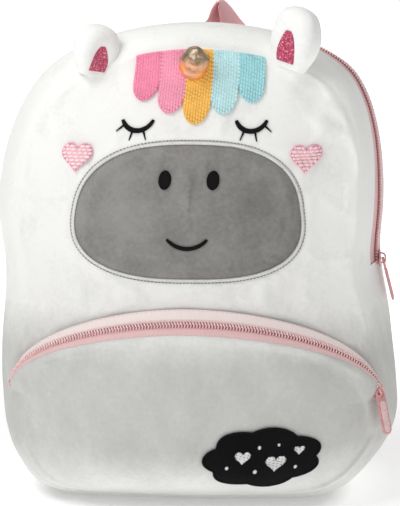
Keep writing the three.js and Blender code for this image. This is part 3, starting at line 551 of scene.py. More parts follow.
def grid_faces(index, closed):
    if closed:
        index = np.hstack([index, index[:, :1]])
    corners = np.stack([index[:-1, :-1], index[:-1, 1:], index[1:, 1:], index[1:, :-1]], -1)
    faces = []
    for a, b, c, d in corners.reshape(-1, 4).tolist():
        if a == b:
            faces.append((a, c, d))
        elif c == d:
            faces.append((a, b, c))
        else:
            faces.append((a, b, c, d))
    return faces


def shell(name, outer, inner, material, closed=False, pole=False, uv=None):
    """A thick piece of cloth between two grids of places (rows, columns, 3)."""
    rows, columns = outer.shape[:2]
    index = np.arange(2 * rows * columns).reshape(2, rows, columns)
    if pole:
        index[:, 0, :] = index[:, 0, :1]
    points = np.vstack([outer.reshape(-1, 3), inner.reshape(-1, 3)])
    faces = grid_faces(index[0], closed) + grid_faces(index[1][:, ::-1], closed)
    faces += grid_faces(np.stack([index[0, -1], index[1, -1]]), closed)
    if not pole:
        faces += grid_faces(np.stack([index[1, 0], index[0, 0]]), closed)
    if not closed:
        faces += grid_faces(np.stack([index[1][:, -1], index[0][:, -1]]), False)
        faces += grid_faces(np.stack([index[0][:, 0], index[1][:, 0]]), False)
    if signed_volume(points, faces) < 0:
        faces = [f[::-1] for f in faces]
    used = np.unique(index)
    number = np.full(len(points), -1)
    number[used] = np.arange(len(used))
    faces = [tuple(number[list(f)].tolist()) for f in faces]
    if uv is not None:
        flat = uv.reshape(-1, 2)
        uv = np.vstack([flat, flat])[used]
    return finish_mesh(name, points[used], faces, material, uv)


def loft(name, sections, material, uv=None):
    """A closed body from rings of places (rings, sides, 3), with a point at each end."""
    rings, sides = sections.shape[:2]
    points = np.vstack([sections.reshape(-1, 3), sections[0].mean(0), sections[-1].mean(0)])
    index = np.arange(rings * sides).reshape(rings, sides)
    faces = grid_faces(index, True)
    first, last = rings * sides, rings * sides + 1
    for i in range(sides):
        j = (i + 1) % sides
        faces.append((first, int(index[0, j]), int(index[0, i])))
        faces.append((last, int(index[-1, i]), int(index[-1, j])))
    if signed_volume(points, faces) < 0:
        faces = [f[::-1] for f in faces]
    if uv is not None:
        uv = np.vstack([uv.reshape(-1, 2), uv[0, :1], uv[-1, :1]])
    return finish_mesh(name, points, faces, material, uv)


def join(name, pieces):
    """Several meshes as one piece; their materials stay in slots of their own."""
    with bpy.context.temp_override(active_object=pieces[0], selected_editable_objects=pieces):
        bpy.ops.object.join()
    pieces[0].name = name
    return pieces[0]


def place(piece, slot, *nodes):
    count = len(piece.data.vertices)
    spots = np.empty(count * 3, np.float32)
    piece.data.vertices.foreach_get("co", spots)
    spots = slump(spots.reshape(-1, 3).astype(float) / MM) * MM
    piece.data.vertices.foreach_set("co", spots.astype(np.float32).ravel())
    piece.data.update()
    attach(piece, "root")
    if nodes:
        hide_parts(*nodes)
    return piece


# Cloth that is left to settle

settle_frames = 20


def settle(grid, sewn, closed, pressure, slack, cap):
    """How far each place of a cloth grid moves when the cloth is a little too large for its
    form, filled from inside, and held where it is sewn."""
    rows, columns = grid.shape[:2]
    index = np.arange(rows * columns).reshape(rows, columns)
    faces = grid_faces(index, closed)
    cloth_piece = finish_mesh("settling cloth", grid.reshape(-1, 3), faces, looks["white"])
    group = cloth_piece.vertex_groups.new(name="sewn")
    group.add(np.flatnonzero(sewn.ravel()).tolist(), 1.0, "REPLACE")
    cloth = cloth_piece.modifiers.new("cloth", "CLOTH")
    cloth.point_cache.frame_start = 1
    cloth.point_cache.frame_end = settle_frames
    cloth.collision_settings.use_collision = False
    values = cloth.settings
    values.quality = 5
    values.mass = 0.02
    values.tension_stiffness = 14
    values.compression_stiffness = 14
    values.shear_stiffness = 6
    values.bending_stiffness = 0.06
    values.air_damping = 3
    values.use_pressure = True
    values.uniform_pressure_force = pressure
    values.effector_weights.gravity = 0
    values.vertex_group_mass = "sewn"
    values.shrink_min = -slack
    scene = bpy.context.scene
    for number in range(1, settle_frames + 1):
        scene.frame_set(number)
    settled = cloth_piece.evaluated_get(bpy.context.evaluated_depsgraph_get()).data
    spots = np.empty(len(settled.vertices) * 3, np.float32)
    settled.vertices.foreach_get("co", spots)
    scene.frame_set(1)
    bpy.data.objects.remove(cloth_piece)
    moved = spots.reshape(rows, columns, 3).astype(float) / MM - grid
    length = np.linalg.norm(moved, axis=-1, keepdims=True)
    return moved * np.tanh(length / cap) * cap / np.maximum(length, 1e-6)


def between_cells(table, row, column, closed):
    """A smooth value between the cells of a table, at places counted in rows and columns."""
    rows, columns = table.shape
    r, c = np.clip(row, 0, rows - 1.001), np.asarray(column, float)
    c = c % columns if closed else np.clip(c, 0, columns - 1.001)
    r0, c0 = np.floor(r).astype(int), np.floor(c).astype(int)
    total = 0.0

    def weights(t):
        return (
            -0.5 * t + t**2 - 0.5 * t**3, 1 - 2.5 * t**2 + 1.5 * t**3,
            0.5 * t + 2 * t**2 - 1.5 * t**3, -0.5 * t**2 + 0.5 * t**3,
        )

    for i, wr in enumerate(weights(r - r0)):
        near_row = np.clip(r0 + i - 1, 0, rows - 1)
        for j, wc in enumerate(weights(c - c0)):
            near = c0 + j - 1
            near = near % columns if closed else np.clip(near, 0, columns - 1)
            total = total + wr * wc * table[near_row, near]
    return total


panel_rows, panel_columns = 40, 160


def settled_panel(point_at, depth_at, sewn_at, pressure, slack, cap):
    """Relief of a panel that has settled, as a table over the shares and directions of it."""
    angle = np.linspace(0, TAU, panel_columns, endpoint=False)[None]
    share = np.linspace(0.02, 1, panel_rows)[:, None]
    grid = point_at(angle, share)
    grid[..., 1] = depth_at(grid[..., 0], grid[..., 2])
    sewn = sewn_at(grid[..., 0], grid[..., 2])
    sewn[-1] = True
    table = -settle(grid[:, ::-1], sewn[:, ::-1], True, pressure, slack, cap)[:, ::-1, 1]
    middle = table[:6].mean()
    return middle + (table - middle) * ease(share, 0.02, 0.3)


def panel_relief(table, share, angle):
    row = (np.clip(share, 0.02, 1) - 0.02) / 0.98 * (panel_rows - 1)
    return between_cells(table, row, angle / TAU * panel_columns, True)


# Stitches and teeth: one small bead on each mark, by geometry nodes

def bead_tree():
    tree = bpy.data.node_groups.new("Beads on their marks", "GeometryNodeTree")
    sockets = tree.interface
    sockets.new_socket("Geometry", in_out="INPUT", socket_type="NodeSocketGeometry")
    for label in ("Thickness", "Height", "Unevenness"):
        sockets.new_socket(label, in_out="INPUT", socket_type="NodeSocketFloat")
    for label in ("Sides", "Seed"):
        sockets.new_socket(label, in_out="INPUT", socket_type="NodeSocketInt")
    sockets.new_socket("Finish", in_out="INPUT", socket_type="NodeSocketMaterial")
    sockets.new_socket("Geometry", in_out="OUTPUT", socket_type="NodeSocketGeometry")
    link = tree.links.new
    given = tree.nodes.new("NodeGroupInput")
    bead = tree.nodes.new("GeometryNodeMeshUVSphere")
    bead.inputs["Rings"].default_value = 6
    bead.inputs["Radius"].default_value = 0.5
    link(given.outputs["Sides"], bead.inputs["Segments"])

    def marked(name, kind):
        node = tree.nodes.new("GeometryNodeInputNamedAttribute")
        node.data_type = kind
        node.inputs["Name"].default_value = name
        return node.outputs["Attribute"]

    turned = tree.nodes.new("FunctionNodeAxesToRotation")
    turned.primary_axis = "Z"
    turned.secondary_axis = "X"
    link(marked("out", "FLOAT_VECTOR"), turned.inputs["Primary Axis"])
    link(marked("along", "FLOAT_VECTOR"), turned.inputs["Secondary Axis"])
    uneven = tree.nodes.new("FunctionNodeRandomValue")
    uneven.data_type = "FLOAT"
    spread = []
    for operation in ("SUBTRACT", "ADD"):
        node = tree.nodes.new("ShaderNodeMath")
        node.operation = operation
        node.inputs[0].default_value = 1
        link(given.outputs["Unevenness"], node.inputs[1])
        spread.append(node.outputs[0])
    link(spread[0], uneven.inputs[2])
    link(spread[1], uneven.inputs[3])
    link(given.outputs["Seed"], uneven.inputs["Seed"])
    sizes = tree.nodes.new("ShaderNodeCombineXYZ")
    link(marked("long", "FLOAT"), sizes.inputs["X"])
    for socket, size in (("Y", "Thickness"), ("Z", "Height")):
        node = tree.nodes.new("ShaderNodeMath")
        node.operation = "MULTIPLY"
        link(given.outputs[size], node.inputs[0])
        link(uneven.outputs[1], node.inputs[1])
        link(node.outputs[0], sizes.inputs[socket])
    spots = tree.nodes.new("GeometryNodeInstanceOnPoints")
    link(given.outputs["Geometry"], spots.inputs["Points"])
    link(bead.outputs["Mesh"], spots.inputs["Instance"])
    link(turned.outputs["Rotation"], spots.inputs["Rotation"])
    link(sizes.outputs["Vector"], spots.inputs["Scale"])
    real = tree.nodes.new("GeometryNodeRealizeInstances")
    link(spots.outputs["Instances"], real.inputs["Geometry"])
    rounded = tree.nodes.new("GeometryNodeSetShadeSmooth")
    link(real.outputs["Geometry"], rounded.inputs[0])
    finish = tree.nodes.new("GeometryNodeSetMaterial")
    link(rounded.outputs[0], finish.inputs["Geometry"])
    link(given.outputs["Finish"], finish.inputs["Material"])
    out = tree.nodes.new("NodeGroupOutput")
    link(finish.outputs["Geometry"], out.inputs["Geometry"])
    return tree


beads = bead_tree()


def sew(name, marks, material, thickness, height, sides=6, unevenness=0.1, seed=1):
    """Beads laid on marks: a list of (places, along, out, long) with sizes in millimetres."""
    places, along, out, long = (np.concatenate([np.atleast_1d(m[i]) for m in marks]) for i in range(4))
    mesh = bpy.data.meshes.new(name)
    mesh.from_pydata((places * MM).tolist(), [], [])
    for label, values in (("along", unit(along)), ("out", unit(out))):
        layer = mesh.attributes.new(label, "FLOAT_VECTOR", "POINT")
        layer.data.foreach_set("vector", values.astype(np.float32).ravel())
    layer = mesh.attributes.new("long", "FLOAT", "POINT")
    layer.data.foreach_set("value", (long * MM).astype(np.float32))
    obj = bpy.data.objects.new(name, mesh)
    bpy.context.scene.collection.objects.link(obj)
    modifier = obj.modifiers.new("beads", "NODES")
    modifier.node_group = beads
    values = {
        "Thickness": thickness * MM,
        "Height": height * MM,
        "Unevenness": unevenness,
        "Sides": sides,
        "Seed": seed,
        "Finish": material,
    }
    for item in beads.interface.items_tree:
        if item.item_type == "SOCKET" and item.in_out == "INPUT" and item.name in values:
            modifier[item.identifier] = values[item.name]
    return made_plain(obj)


def made_plain(obj):
    """The evaluated shape of an object as its own plain mesh."""
    graph = bpy.context.evaluated_depsgraph_get()
    mesh = bpy.data.meshes.new_from_object(obj.evaluated_get(graph), depsgraph=graph)
    obj.modifiers.clear()
    obj.data = mesh
    return obj


def running_stitch(path, out, stitch, space, lift=0.0):
    """Marks of a line of stitches along a path of places."""
    lengths = np.concatenate([[0], np.cumsum(np.linalg.norm(np.diff(path, axis=0), axis=1))])
    count = max(1, int(lengths[-1] / (stitch + space)))
    at = (np.arange(count) + 0.5) * lengths[-1] / count
    middle = np.stack([np.interp(at, lengths, path[:, k]) for k in range(3)], -1)
    normal = unit(np.stack([np.interp(at, lengths, out[:, k]) for k in range(3)], -1))
    ahead = np.stack([np.interp(at + 0.3, lengths, path[:, k]) for k in range(3)], -1)
    behind = np.stack([np.interp(at - 0.3, lengths, path[:, k]) for k in range(3)], -1)
    return middle + normal * lift, ahead - behind, normal, np.full(count, float(stitch))


def surface_normal(depth_at, x, z, out=-1):
    """Direction away from a surface that is given as depth by place, and its two slopes."""
    step = 0.5
    slope_x = (depth_at(x + step, z) - depth_at(x - step, z)) / (2 * step)
    slope_z = (depth_at(x, z + step) - depth_at(x, z - step)) / (2 * step)
    return unit(np.stack([-slope_x, np.ones_like(slope_x), -slope_z], -1) * out), slope_x, slope_z


def fill_stitches(inside, low, high, depth_at, lift, stitch, pitch, upright, seed=0):
    """Marks that fill a flat shape with rows of stitches, laid on a surface."""
    rng = np.random.default_rng(seed)
    across, up = (0, 1) if upright else (1, 0)
    rows = np.arange(low[across] + pitch / 2, high[across], pitch)
    marks_x, marks_z, longs = [], [], []
    fine = np.arange(low[up], high[up], 0.12)
    for number, row in enumerate(rows):
        line = [None, None]
        line[across] = np.full_like(fine, row)
        line[up] = fine
        here = inside(line[0], line[1]).astype(int)
        edges = np.flatnonzero(np.diff(np.concatenate([[0], here, [0]])))
        for start, stop in zip(edges[::2], edges[1::2]):
            a, b = fine[start], fine[min(stop, len(fine) - 1)]
            if b - a < 0.6:
                continue
            shift = (number % 3) / 3 * stitch + rng.uniform(-0.2, 0.2)
            cuts = np.arange(math.floor(a / stitch) * stitch - shift, b + stitch, stitch)
            cuts = np.concatenate([[a], cuts[(cuts > a + 0.5) & (cuts < b - 0.5)], [b]])
            middle, long = (cuts[1:] + cuts[:-1]) / 2, np.diff(cuts)
            row_at = np.full_like(middle, row)
            marks_x.append(middle if up == 0 else row_at)
            marks_z.append(middle if up == 1 else row_at)
            longs.append(long * 1.12)
    x, z, long = map(np.concatenate, (marks_x, marks_z, longs))
    normal, slope_x, slope_z = surface_normal(depth_at, x, z)
    along = np.stack([0 * x, slope_z, 1 + 0 * x], -1) if upright else np.stack([1 + 0 * x, slope_x, 0 * x], -1)
    places = np.stack([x, depth_at(x, z), z], -1) + normal * lift
    return places, along, normal, long


def satin(path_x, path_z, widths, depth_at, lift, pitch):
    """Marks of satin stitches that lie across a path on a surface."""
    steps = np.hypot(np.diff(path_x), np.diff(path_z))
    lengths = np.concatenate([[0], np.cumsum(steps)])
    at = np.arange(pitch / 2, lengths[-1], pitch)
    x, z = np.interp(at, lengths, path_x), np.interp(at, lengths, path_z)
    wide = np.interp(at, lengths, widths)
    ahead_x, ahead_z = np.interp(at + 0.4, lengths, path_x), np.interp(at + 0.4, lengths, path_z)
    behind_x, behind_z = np.interp(at - 0.4, lengths, path_x), np.interp(at - 0.4, lengths, path_z)
    direction = unit(np.stack([ahead_x - behind_x, ahead_z - behind_z], -1))
    normal, slope_x, slope_z = surface_normal(depth_at, x, z)
    side_x, side_z = -direction[:, 1], direction[:, 0]
    along = np.stack([side_x, slope_x * side_x + slope_z * side_z, side_z], -1)
    places = np.stack([x, depth_at(x, z), z], -1) + normal * lift
    return places, along, normal, wide


# Finishes

class Finish:
    """A material made of nodes, with short calls for the ones that these finishes share."""

    def __init__(self, name, colour, roughness, metallic=0.0, sheen=0.0, sheen_roughness=0.5):
        self.material = bpy.data.materials.new(name)
        self.material.use_nodes = True
        self.tree = self.material.node_tree
        self.shader = self.tree.nodes["Principled BSDF"]
        self.set("Base Color", (*colour, 1))
        self.set("Roughness", roughness)
        self.set("Metallic", metallic)
        self.set("Sheen Weight", sheen)
        self.set("Sheen Roughness", sheen_roughness)
        self.set("Specular IOR Level", 0.2 if roughness > 0.5 else 0.5)
        self.bumped = None

    def set(self, socket, value):
        self.shader.inputs[socket].default_value = value

    def node(self, kind, **values):
        node = self.tree.nodes.new(kind)
        for key, value in values.items():
            setattr(node, key, value)
        return node

    def link(self, out, into):
        self.tree.links.new(out, into)

    def where(self, stretch=(1, 1, 1), turn=(0, 0, 0), uv=False):
        source = self.node("ShaderNodeTexCoord").outputs["UV" if uv else "Object"]
        mapping = self.node("ShaderNodeMapping")
        mapping.inputs["Scale"].default_value = stretch
        mapping.inputs["Rotation"].default_value = turn
        self.link(source, mapping.inputs["Vector"])
        return mapping.outputs["Vector"]

    def noise(self, size, detail=2.0, place=None, rough=0.5):
        node = self.node("ShaderNodeTexNoise")
        node.inputs["Scale"].default_value = 1 / (size * MM)
        node.inputs["Detail"].default_value = detail
        node.inputs["Roughness"].default_value = rough
        self.link(place or self.where(), node.inputs["Vector"])
        return node.outputs[0]

    def wave(self, size, place, direction="X", kind="BANDS", distortion=0.0):
        node = self.node("ShaderNodeTexWave", wave_type=kind, bands_direction=direction)
        node.inputs["Scale"].default_value = TAU / 20 / (size * MM)
        node.inputs["Distortion"].default_value = distortion
        self.link(place, node.inputs["Vector"])
        return node.outputs["Fac"]

    def math(self, operation, a, b=0.0, c=0.0):
        node = self.node("ShaderNodeMath", operation=operation)
        for socket, value in zip(node.inputs, (a, b, c)):
            if isinstance(value, (int, float)):
                socket.default_value = value
            else:
                self.link(value, socket)
        return node.outputs[0]

    def between(self, value, low, high):
        node = self.node("ShaderNodeMapRange")
        node.inputs["From Min"].default_value = low
        node.inputs["From Max"].default_value = high
        self.link(value, node.inputs["Value"])
        return node.outputs["Result"]

    def shades(self, factor, *stops):
        """Base colour from a factor, through stops of (position, colour)."""
        ramp = self.node("ShaderNodeValToRGB")
        elements = ramp.color_ramp.elements
        while len(elements) < len(stops):
            elements.new(0.5)
        for element, (position, colour) in zip(elements, stops):
            element.position = position
            element.color = (*colour, 1)
        self.link(factor, ramp.inputs["Fac"])
        self.link(ramp.outputs["Color"], self.shader.inputs["Base Color"])
        return ramp.outputs["Color"]

    def tint(self, colour, factor, other, amount=1.0):
        """A colour blended towards another one by a factor."""
        node = self.node("ShaderNodeMix", data_type="RGBA")
        self.link(self.math("MULTIPLY", factor, amount), node.inputs["Factor"])
        self.link(colour, node.inputs["A"])
        node.inputs["B"].default_value = (*other, 1)
        self.link(node.outputs["Result"], self.shader.inputs["Base Color"])
        return node.outputs["Result"]

    def bump(self, height, depth, strength=1.0):
        """Relief of a depth in millimetres; several calls add up."""
        node = self.node("ShaderNodeBump")
        node.inputs["Strength"].default_value = strength
        node.inputs["Distance"].default_value = depth * MM
        self.link(height, node.inputs["Height"])
        if self.bumped:
            self.link(self.bumped, node.inputs["Normal"])
        self.bumped = node.outputs["Normal"]
        self.link(self.bumped, self.shader.inputs["Normal"])

    def rough(self, factor, low, high):
        node = self.node("ShaderNodeMapRange")
        node.inputs["To Min"].default_value = low
        node.inputs["To Max"].default_value = high
        self.link(factor, node.inputs["Value"])
        self.link(node.outputs["Result"], self.shader.inputs["Roughness"])


def shade(colour, share):
    return tuple(min(1.0, c * share) for c in colour)


def plush(name, colour, nap=0.05, grain=0.06, sheen=0.3, nap_stretch_and_painted_light=(1, 1, 1), right_painted_shade=0.0):
    """Short-pile velour: fine pile, a faint nap in patches, and a soft sheen. The last argument says
    how much painted shade darkens it towards its right, where less light falls."""
    finish = Finish(name, colour, 0.95, sheen=sheen, sheen_roughness=0.45)
    pile = finish.noise(0.9, 3, rough=0.7)
    patches = finish.noise(26, 3, finish.where(nap_stretch_and_painted_light), rough=0.6)
    fleck = finish.noise(2.6, 2, finish.where(nap_stretch_and_painted_light))
    tone = finish.math("ADD", finish.math("MULTIPLY", patches, 0.55), finish.math("MULTIPLY", pile, 0.2))
    tone = finish.math("ADD", tone, finish.math("MULTIPLY", fleck, 0.25))
    # Painted shade: the plush grows darker towards +X, where less light falls on it.
    if right_painted_shade:
        split = finish.node("ShaderNodeSeparateXYZ")
        finish.link(finish.where(), split.inputs[0])
        right = finish.between(split.outputs["X"], -45 * MM, 80 * MM)
        tone = finish.math("SUBTRACT", tone, finish.math("MULTIPLY", right, right_painted_shade))
    dark, light = shade(colour, 1 - nap - grain), shade(colour, 1 + nap)
    deep = shade(colour, 1 - nap - 3 * grain)
    finish.shades(tone, (0.1, deep), (0.34, dark), (0.52, colour), (0.68, light))
    if max(colour) < 0.1:
        finish.set("Specular IOR Level", 0.12)
    finish.bump(patches, 0.7, 0.5)
    finish.bump(fleck, 0.35, 0.5)
    finish.bump(pile, 0.3, 0.6)
    return finish.material


def pocket_plush():
    """The white plush again, with painted shade by height: full white above 130 mm and below 14 mm, darker in between,
    where less light falls on the front of the bag. The face panel and the side strips wear it too.
    """
    colour = (0.87, 0.87, 0.845)
    finish = Finish("plush, white, painted shade by height", colour, 0.95, sheen=0.12, sheen_roughness=0.45)
    split = finish.node("ShaderNodeSeparateXYZ")
    finish.link(finish.where(), split.inputs[0])
    # Painted light: lit from above at the top and from the floor at the bottom, with painted shade in between.
    top = finish.between(split.outputs["Z"], 98 * MM, 130 * MM)
    low = finish.between(split.outputs["Z"], 46 * MM, 14 * MM)
    nap_stretch_and_painted_light = finish.math("MAXIMUM", top, low)
    pile = finish.noise(0.9, 3, rough=0.7)
    patches = finish.noise(20, 3, finish.where((1, 1, 0.6)), rough=0.6)
    fleck = finish.noise(2.6, 2)
    nap = finish.math("ADD", finish.math("MULTIPLY", patches, 0.6), finish.math("MULTIPLY", fleck, 0.3))
    nap = finish.math("SUBTRACT", finish.math("ADD", nap, finish.math("MULTIPLY", pile, 0.1)), 0.5)
    tone = finish.math("ADD", finish.math("MULTIPLY", nap_stretch_and_painted_light, 0.7), 0.3)
    tone = finish.math("ADD", tone, finish.math("MULTIPLY", nap, 1.1))
    finish.shades(tone, (0.0, (0.53, 0.53, 0.507)), (0.35, (0.62, 0.62, 0.595)), (1.0, colour))
    finish.bump(patches, 0.7, 0.5)
    finish.bump(fleck, 0.35, 0.5)
    finish.bump(pile, 0.3, 0.6)
    return finish.material


def thread(name, colour, gloss=0.42, sheen=0.25):
    """Satin embroidery thread: fine strands that catch the light."""
    finish = Finish(name, colour, gloss, sheen=sheen)
    strand = finish.noise(0.8, 2, rough=0.6)
    patch = finish.noise(9, 2)
    tone = finish.math("ADD", finish.math("MULTIPLY", strand, 0.6), finish.math("MULTIPLY", patch, 0.4))
    finish.shades(tone, (0.32, shade(colour, 0.86)), (0.5, colour), (0.7, shade(colour, 1.1)))
    finish.bump(strand, 0.12, 0.5)
    finish.rough(strand, gloss - 0.08, gloss + 0.2)
    if max(colour) < 0.1:
        finish.set("Specular IOR Level", 0.15)
    return finish.material


def woven(name, colour, dark, pitch=0.7, uv=True, sheen=0.2, roughness=0.75, relief=0.16):
    """Plain-woven polyester: warp and weft that pass over each other."""
    finish = Finish(name, colour, roughness, sheen=sheen)
    place = finish.where(uv=uv)
    warp = finish.wave(pitch, place, "X")
    weft = finish.wave(pitch, place, "Y")
    cloth = finish.math("MULTIPLY", warp, weft)
    cloth = finish.math("ADD", cloth, finish.math("MULTIPLY", finish.noise(14, 2), 0.35))
    finish.shades(cloth, (0.1, dark), (0.75, colour), (1.0, shade(colour, 1.07)))
    finish.bump(cloth, relief, 0.8)
    return finish.material


def webbing(name, colour, dark):
    """Flat webbing: a chevron twill with a firm edge, and faint wear."""
    finish = Finish(name, colour, 0.62, sheen=0.3)
    place = finish.where(uv=True)
    split = finish.node("ShaderNodeSeparateXYZ")
    finish.link(place, split.inputs[0])
    across = finish.math("PINGPONG", split.outputs["Y"], 2.6 * MM)
    slant = finish.math("ADD", split.outputs["X"], finish.math("MULTIPLY", across, 0.9))
    twill = finish.math("SINE", finish.math("MULTIPLY", slant, TAU / (1.5 * MM)))
    ribs = finish.math("SINE", finish.math("MULTIPLY", split.outputs["Y"], TAU / (1.3 * MM)))
    cloth = finish.math("ADD", finish.math("MULTIPLY", twill, 0.3), finish.math("MULTIPLY", ribs, 0.2))
    cloth = finish.math("ADD", cloth, 0.5)
    wear = finish.noise(11, 3)
    tone = finish.math("ADD", finish.math("MULTIPLY", cloth, 0.65), finish.math("MULTIPLY", wear, 0.35))
    finish.shades(tone, (0.15, dark), (0.55, colour), (0.9, shade(colour, 1.18)))
    finish.bump(cloth, 0.3, 0.9)
    return finish.material


def zip_tape(name, colour):
    """Woven zip tape: fine ribs along it, and one raised cord beside the coil, also painted darker as a line of shade.
    """
    dark = (0.9 * colour[0], 0.8 * colour[1], 0.8 * colour[2])
    finish = Finish(name, colour, 0.6, sheen=0.35)
    place = finish.where(uv=True)
    split = finish.node("ShaderNodeSeparateXYZ")
    finish.link(place, split.inputs[0])
    along, across = split.outputs["X"], split.outputs["Y"]
    ribs = finish.math("SINE", finish.math("MULTIPLY", across, TAU / (0.85 * MM)))
    picks = finish.math("SINE", finish.math("MULTIPLY", along, TAU / (0.8 * MM)))
    weave = finish.math("ADD", finish.math("MULTIPLY", ribs, 0.28), finish.math("MULTIPLY", picks, 0.22))
    weave = finish.math("ADD", weave, 0.5)
    cord = finish.math("SUBTRACT", across, 3.4 * MM)
    cord = finish.math("MULTIPLY", cord, 1 / (0.45 * MM))
    cord = finish.math("SUBTRACT", 1.0, finish.math("MINIMUM", finish.math("ABSOLUTE", cord), 1.0))
    # Painted shade: the raised cord is drawn darker, along with its bump.
    tone = finish.math("SUBTRACT", weave, finish.math("MULTIPLY", cord, 0.35))
    tone = finish.math("ADD", tone, finish.math("MULTIPLY", finish.noise(7, 2), 0.25))
    finish.shades(tone, (0.05, dark), (0.5, colour), (0.95, shade(colour, 1.1)))
    finish.bump(weave, 0.2, 0.7)
    finish.bump(cord, 0.3, 0.6)
    return finish.material


def glossy(name, colour, roughness=0.25, metallic=0.0, coat=0.0, grain=0.4):
    """Moulded or lacquered piece with faint unevenness and rubbed spots."""
    finish = Finish(name, colour, roughness, metallic)
    finish.set("Coat Weight", coat)
    finish.set("Coat Roughness", 0.12)
    spots = finish.noise(2.2, 4, rough=0.6)
    finish.shades(spots, (0.3, shade(colour, 0.8)), (0.55, colour), (0.8, shade(colour, 1.12)))
    finish.rough(spots, max(0.05, roughness - 0.08), roughness + 0.2)
    finish.bump(finish.noise(0.7, 2), 0.06, grain)
    return finish.material


def glitter():
    """Deep pink cloth set with fine glitter flakes."""
    finish = Finish("glitter cloth, deep pink", (0.62, 0.06, 0.2), 0.45)
    flakes = finish.node("ShaderNodeTexVoronoi")
    flakes.inputs["Scale"].default_value = 1 / (0.6 * MM)
    finish.link(finish.where(), flakes.inputs["Vector"])
    split = finish.node("ShaderNodeSeparateColor")
    finish.link(flakes.outputs["Color"], split.inputs[0])
    finish.shades(
        split.outputs[0], (0.0, (0.3, 0.02, 0.06)), (0.5, (0.52, 0.045, 0.12)), (0.88, (0.68, 0.1, 0.2)), (0.97, (0.95, 0.5, 0.6))
    )
    finish.rough(split.outputs[1], 0.12, 0.6)
    finish.bump(split.outputs[2], 0.5, 0.9)
    return finish.material


def horn_foil():
    """Iridescent foil cloth: gold below, peach in the middle, smoky folds towards the tip."""
    finish = Finish("horn foil, gold to smoke", (0.82, 0.4, 0.12), 0.3, metallic=0.55)
    split = finish.node("ShaderNodeSeparateXYZ")
    finish.link(finish.where(), split.inputs[0])
    height = finish.between(split.outputs["Z"], 270 * MM, 293 * MM)
    patches = finish.noise(7, 3, rough=0.6)
    tone = finish.math("MULTIPLY", finish.math("SUBTRACT", patches, 0.5), 1.5)
    tone = finish.math("ADD", finish.math("MULTIPLY", height, 0.75), tone)
    finish.shades(
        finish.math("ADD", tone, 0.12),
        (0.0, (0.86, 0.33, 0.02)), (0.25, (0.88, 0.38, 0.1)), (0.45, (0.82, 0.42, 0.27)),
        (0.62, (0.5, 0.33, 0.2)), (0.78, (0.17, 0.13, 0.08)), (0.92, (0.62, 0.5, 0.36)),
    )
    finish.bump(finish.noise(2.6, 4, rough=0.65), 0.6, 0.8)
    finish.bump(finish.noise(0.8, 2), 0.1, 0.5)
    finish.rough(finish.noise(4, 3), 0.2, 0.5)
    return finish.material


looks = {
    "white": plush("plush, white", (0.87, 0.87, 0.85), nap=0.035, grain=0.035, sheen=0.12),
    # The pocket finish is the white plush with painted shade by height; the face panel and side strips use it too.
    "pocket": pocket_plush(),
    "grey": plush("plush, grey", (0.285, 0.276, 0.263), nap=0.13, grain=0.13, sheen=0.25, right_painted_shade=0.17),
    "back": woven("back cloth, pale pink", (0.84, 0.72, 0.725), (0.6, 0.47, 0.48), pitch=1.2),
    "black": plush("felt, black", (0.006, 0.006, 0.007), nap=0.2, grain=0.2, sheen=0.0),
    # One pink tape at three lightnesses: the pocket's upper tape is a copy painted paler where it faces the light, and
    # the main zip's tapes use a darker copy.
    "tape": zip_tape("zip tape, pink", (0.84, 0.58, 0.57)),
    "tape_painted_lit": zip_tape("zip tape, pink, painted lit", (1.0, 0.85, 0.82)),
    "tape_deep": zip_tape("zip tape, pink, darker copy", (0.76, 0.48, 0.48)),
    "coil": glossy("coil, dusky pink", (1.0, 0.66, 0.66), 0.3, coat=0.5),
    # The coil core is painted dark as the shade between the teeth; the heads are painted pale as highlights where the
    # loops meet.
    "coil_core": glossy("coil core, pink, painted shade", (0.44, 0.15, 0.17), 0.5),
    "head": glossy("coil heads, pink, painted highlight", (1.0, 0.9, 0.89), 0.22, coat=0.6),
    "metal": glossy("slider, rose lacquer", (0.72, 0.36, 0.35), 0.26, metallic=0.7, coat=0.4),
    "pull": glossy("pull, pink enamel", (0.72, 0.32, 0.34), 0.3, coat=0.5),
    "pull_face": glossy("pull face, pale pink", (0.84, 0.6, 0.59), 0.4, coat=0.2),
    "webbing": webbing("webbing, pink", (0.88, 0.47, 0.49), (0.7, 0.3, 0.33)),
    "strap": woven("strap cloth, pink", (0.8, 0.42, 0.45), (0.55, 0.23, 0.26), pitch=1.0),
    "buckle": glossy("adjuster, pink", (0.72, 0.3, 0.34), 0.28, coat=0.4),
    "glitter": glitter(),
    "foil": horn_foil(),
    "pink": thread("thread, pink", (0.92, 0.36, 0.5)),
    "rose": thread("thread, rose", (0.9, 0.28, 0.44)),
    "blush": thread("thread, blush", (0.93, 0.52, 0.58)),
    "pale": thread("thread, pale pink", (0.95, 0.68, 0.71)),
    "honey": thread("thread, honey", (0.95, 0.55, 0.1)),
    "aqua": thread("thread, aqua", (0.55, 0.8, 0.82)),
    "teal": thread("thread, teal", (0.38, 0.72, 0.76)),
    "ink": thread("thread, black", (0.005, 0.005, 0.006), gloss=0.6, sheen=0.0),
    "silver": thread("thread, pale grey", (0.76, 0.76, 0.74)),
    "slate": thread("thread and painted shadow line, slate grey", (0.2, 0.195, 0.19)),
    "cotton": thread("thread, white", (0.88, 0.88, 0.86)),
}


# Camera and light at the photograph's view

view_azimuth = 2.8
view_elevation = 12.0
view_distance = 1200
view_target = (0, 0, 150)
view_shift = (4.8, 4.6)  # the picture's middle from the target, to the right and up
lens = 165.9
sensor = 36


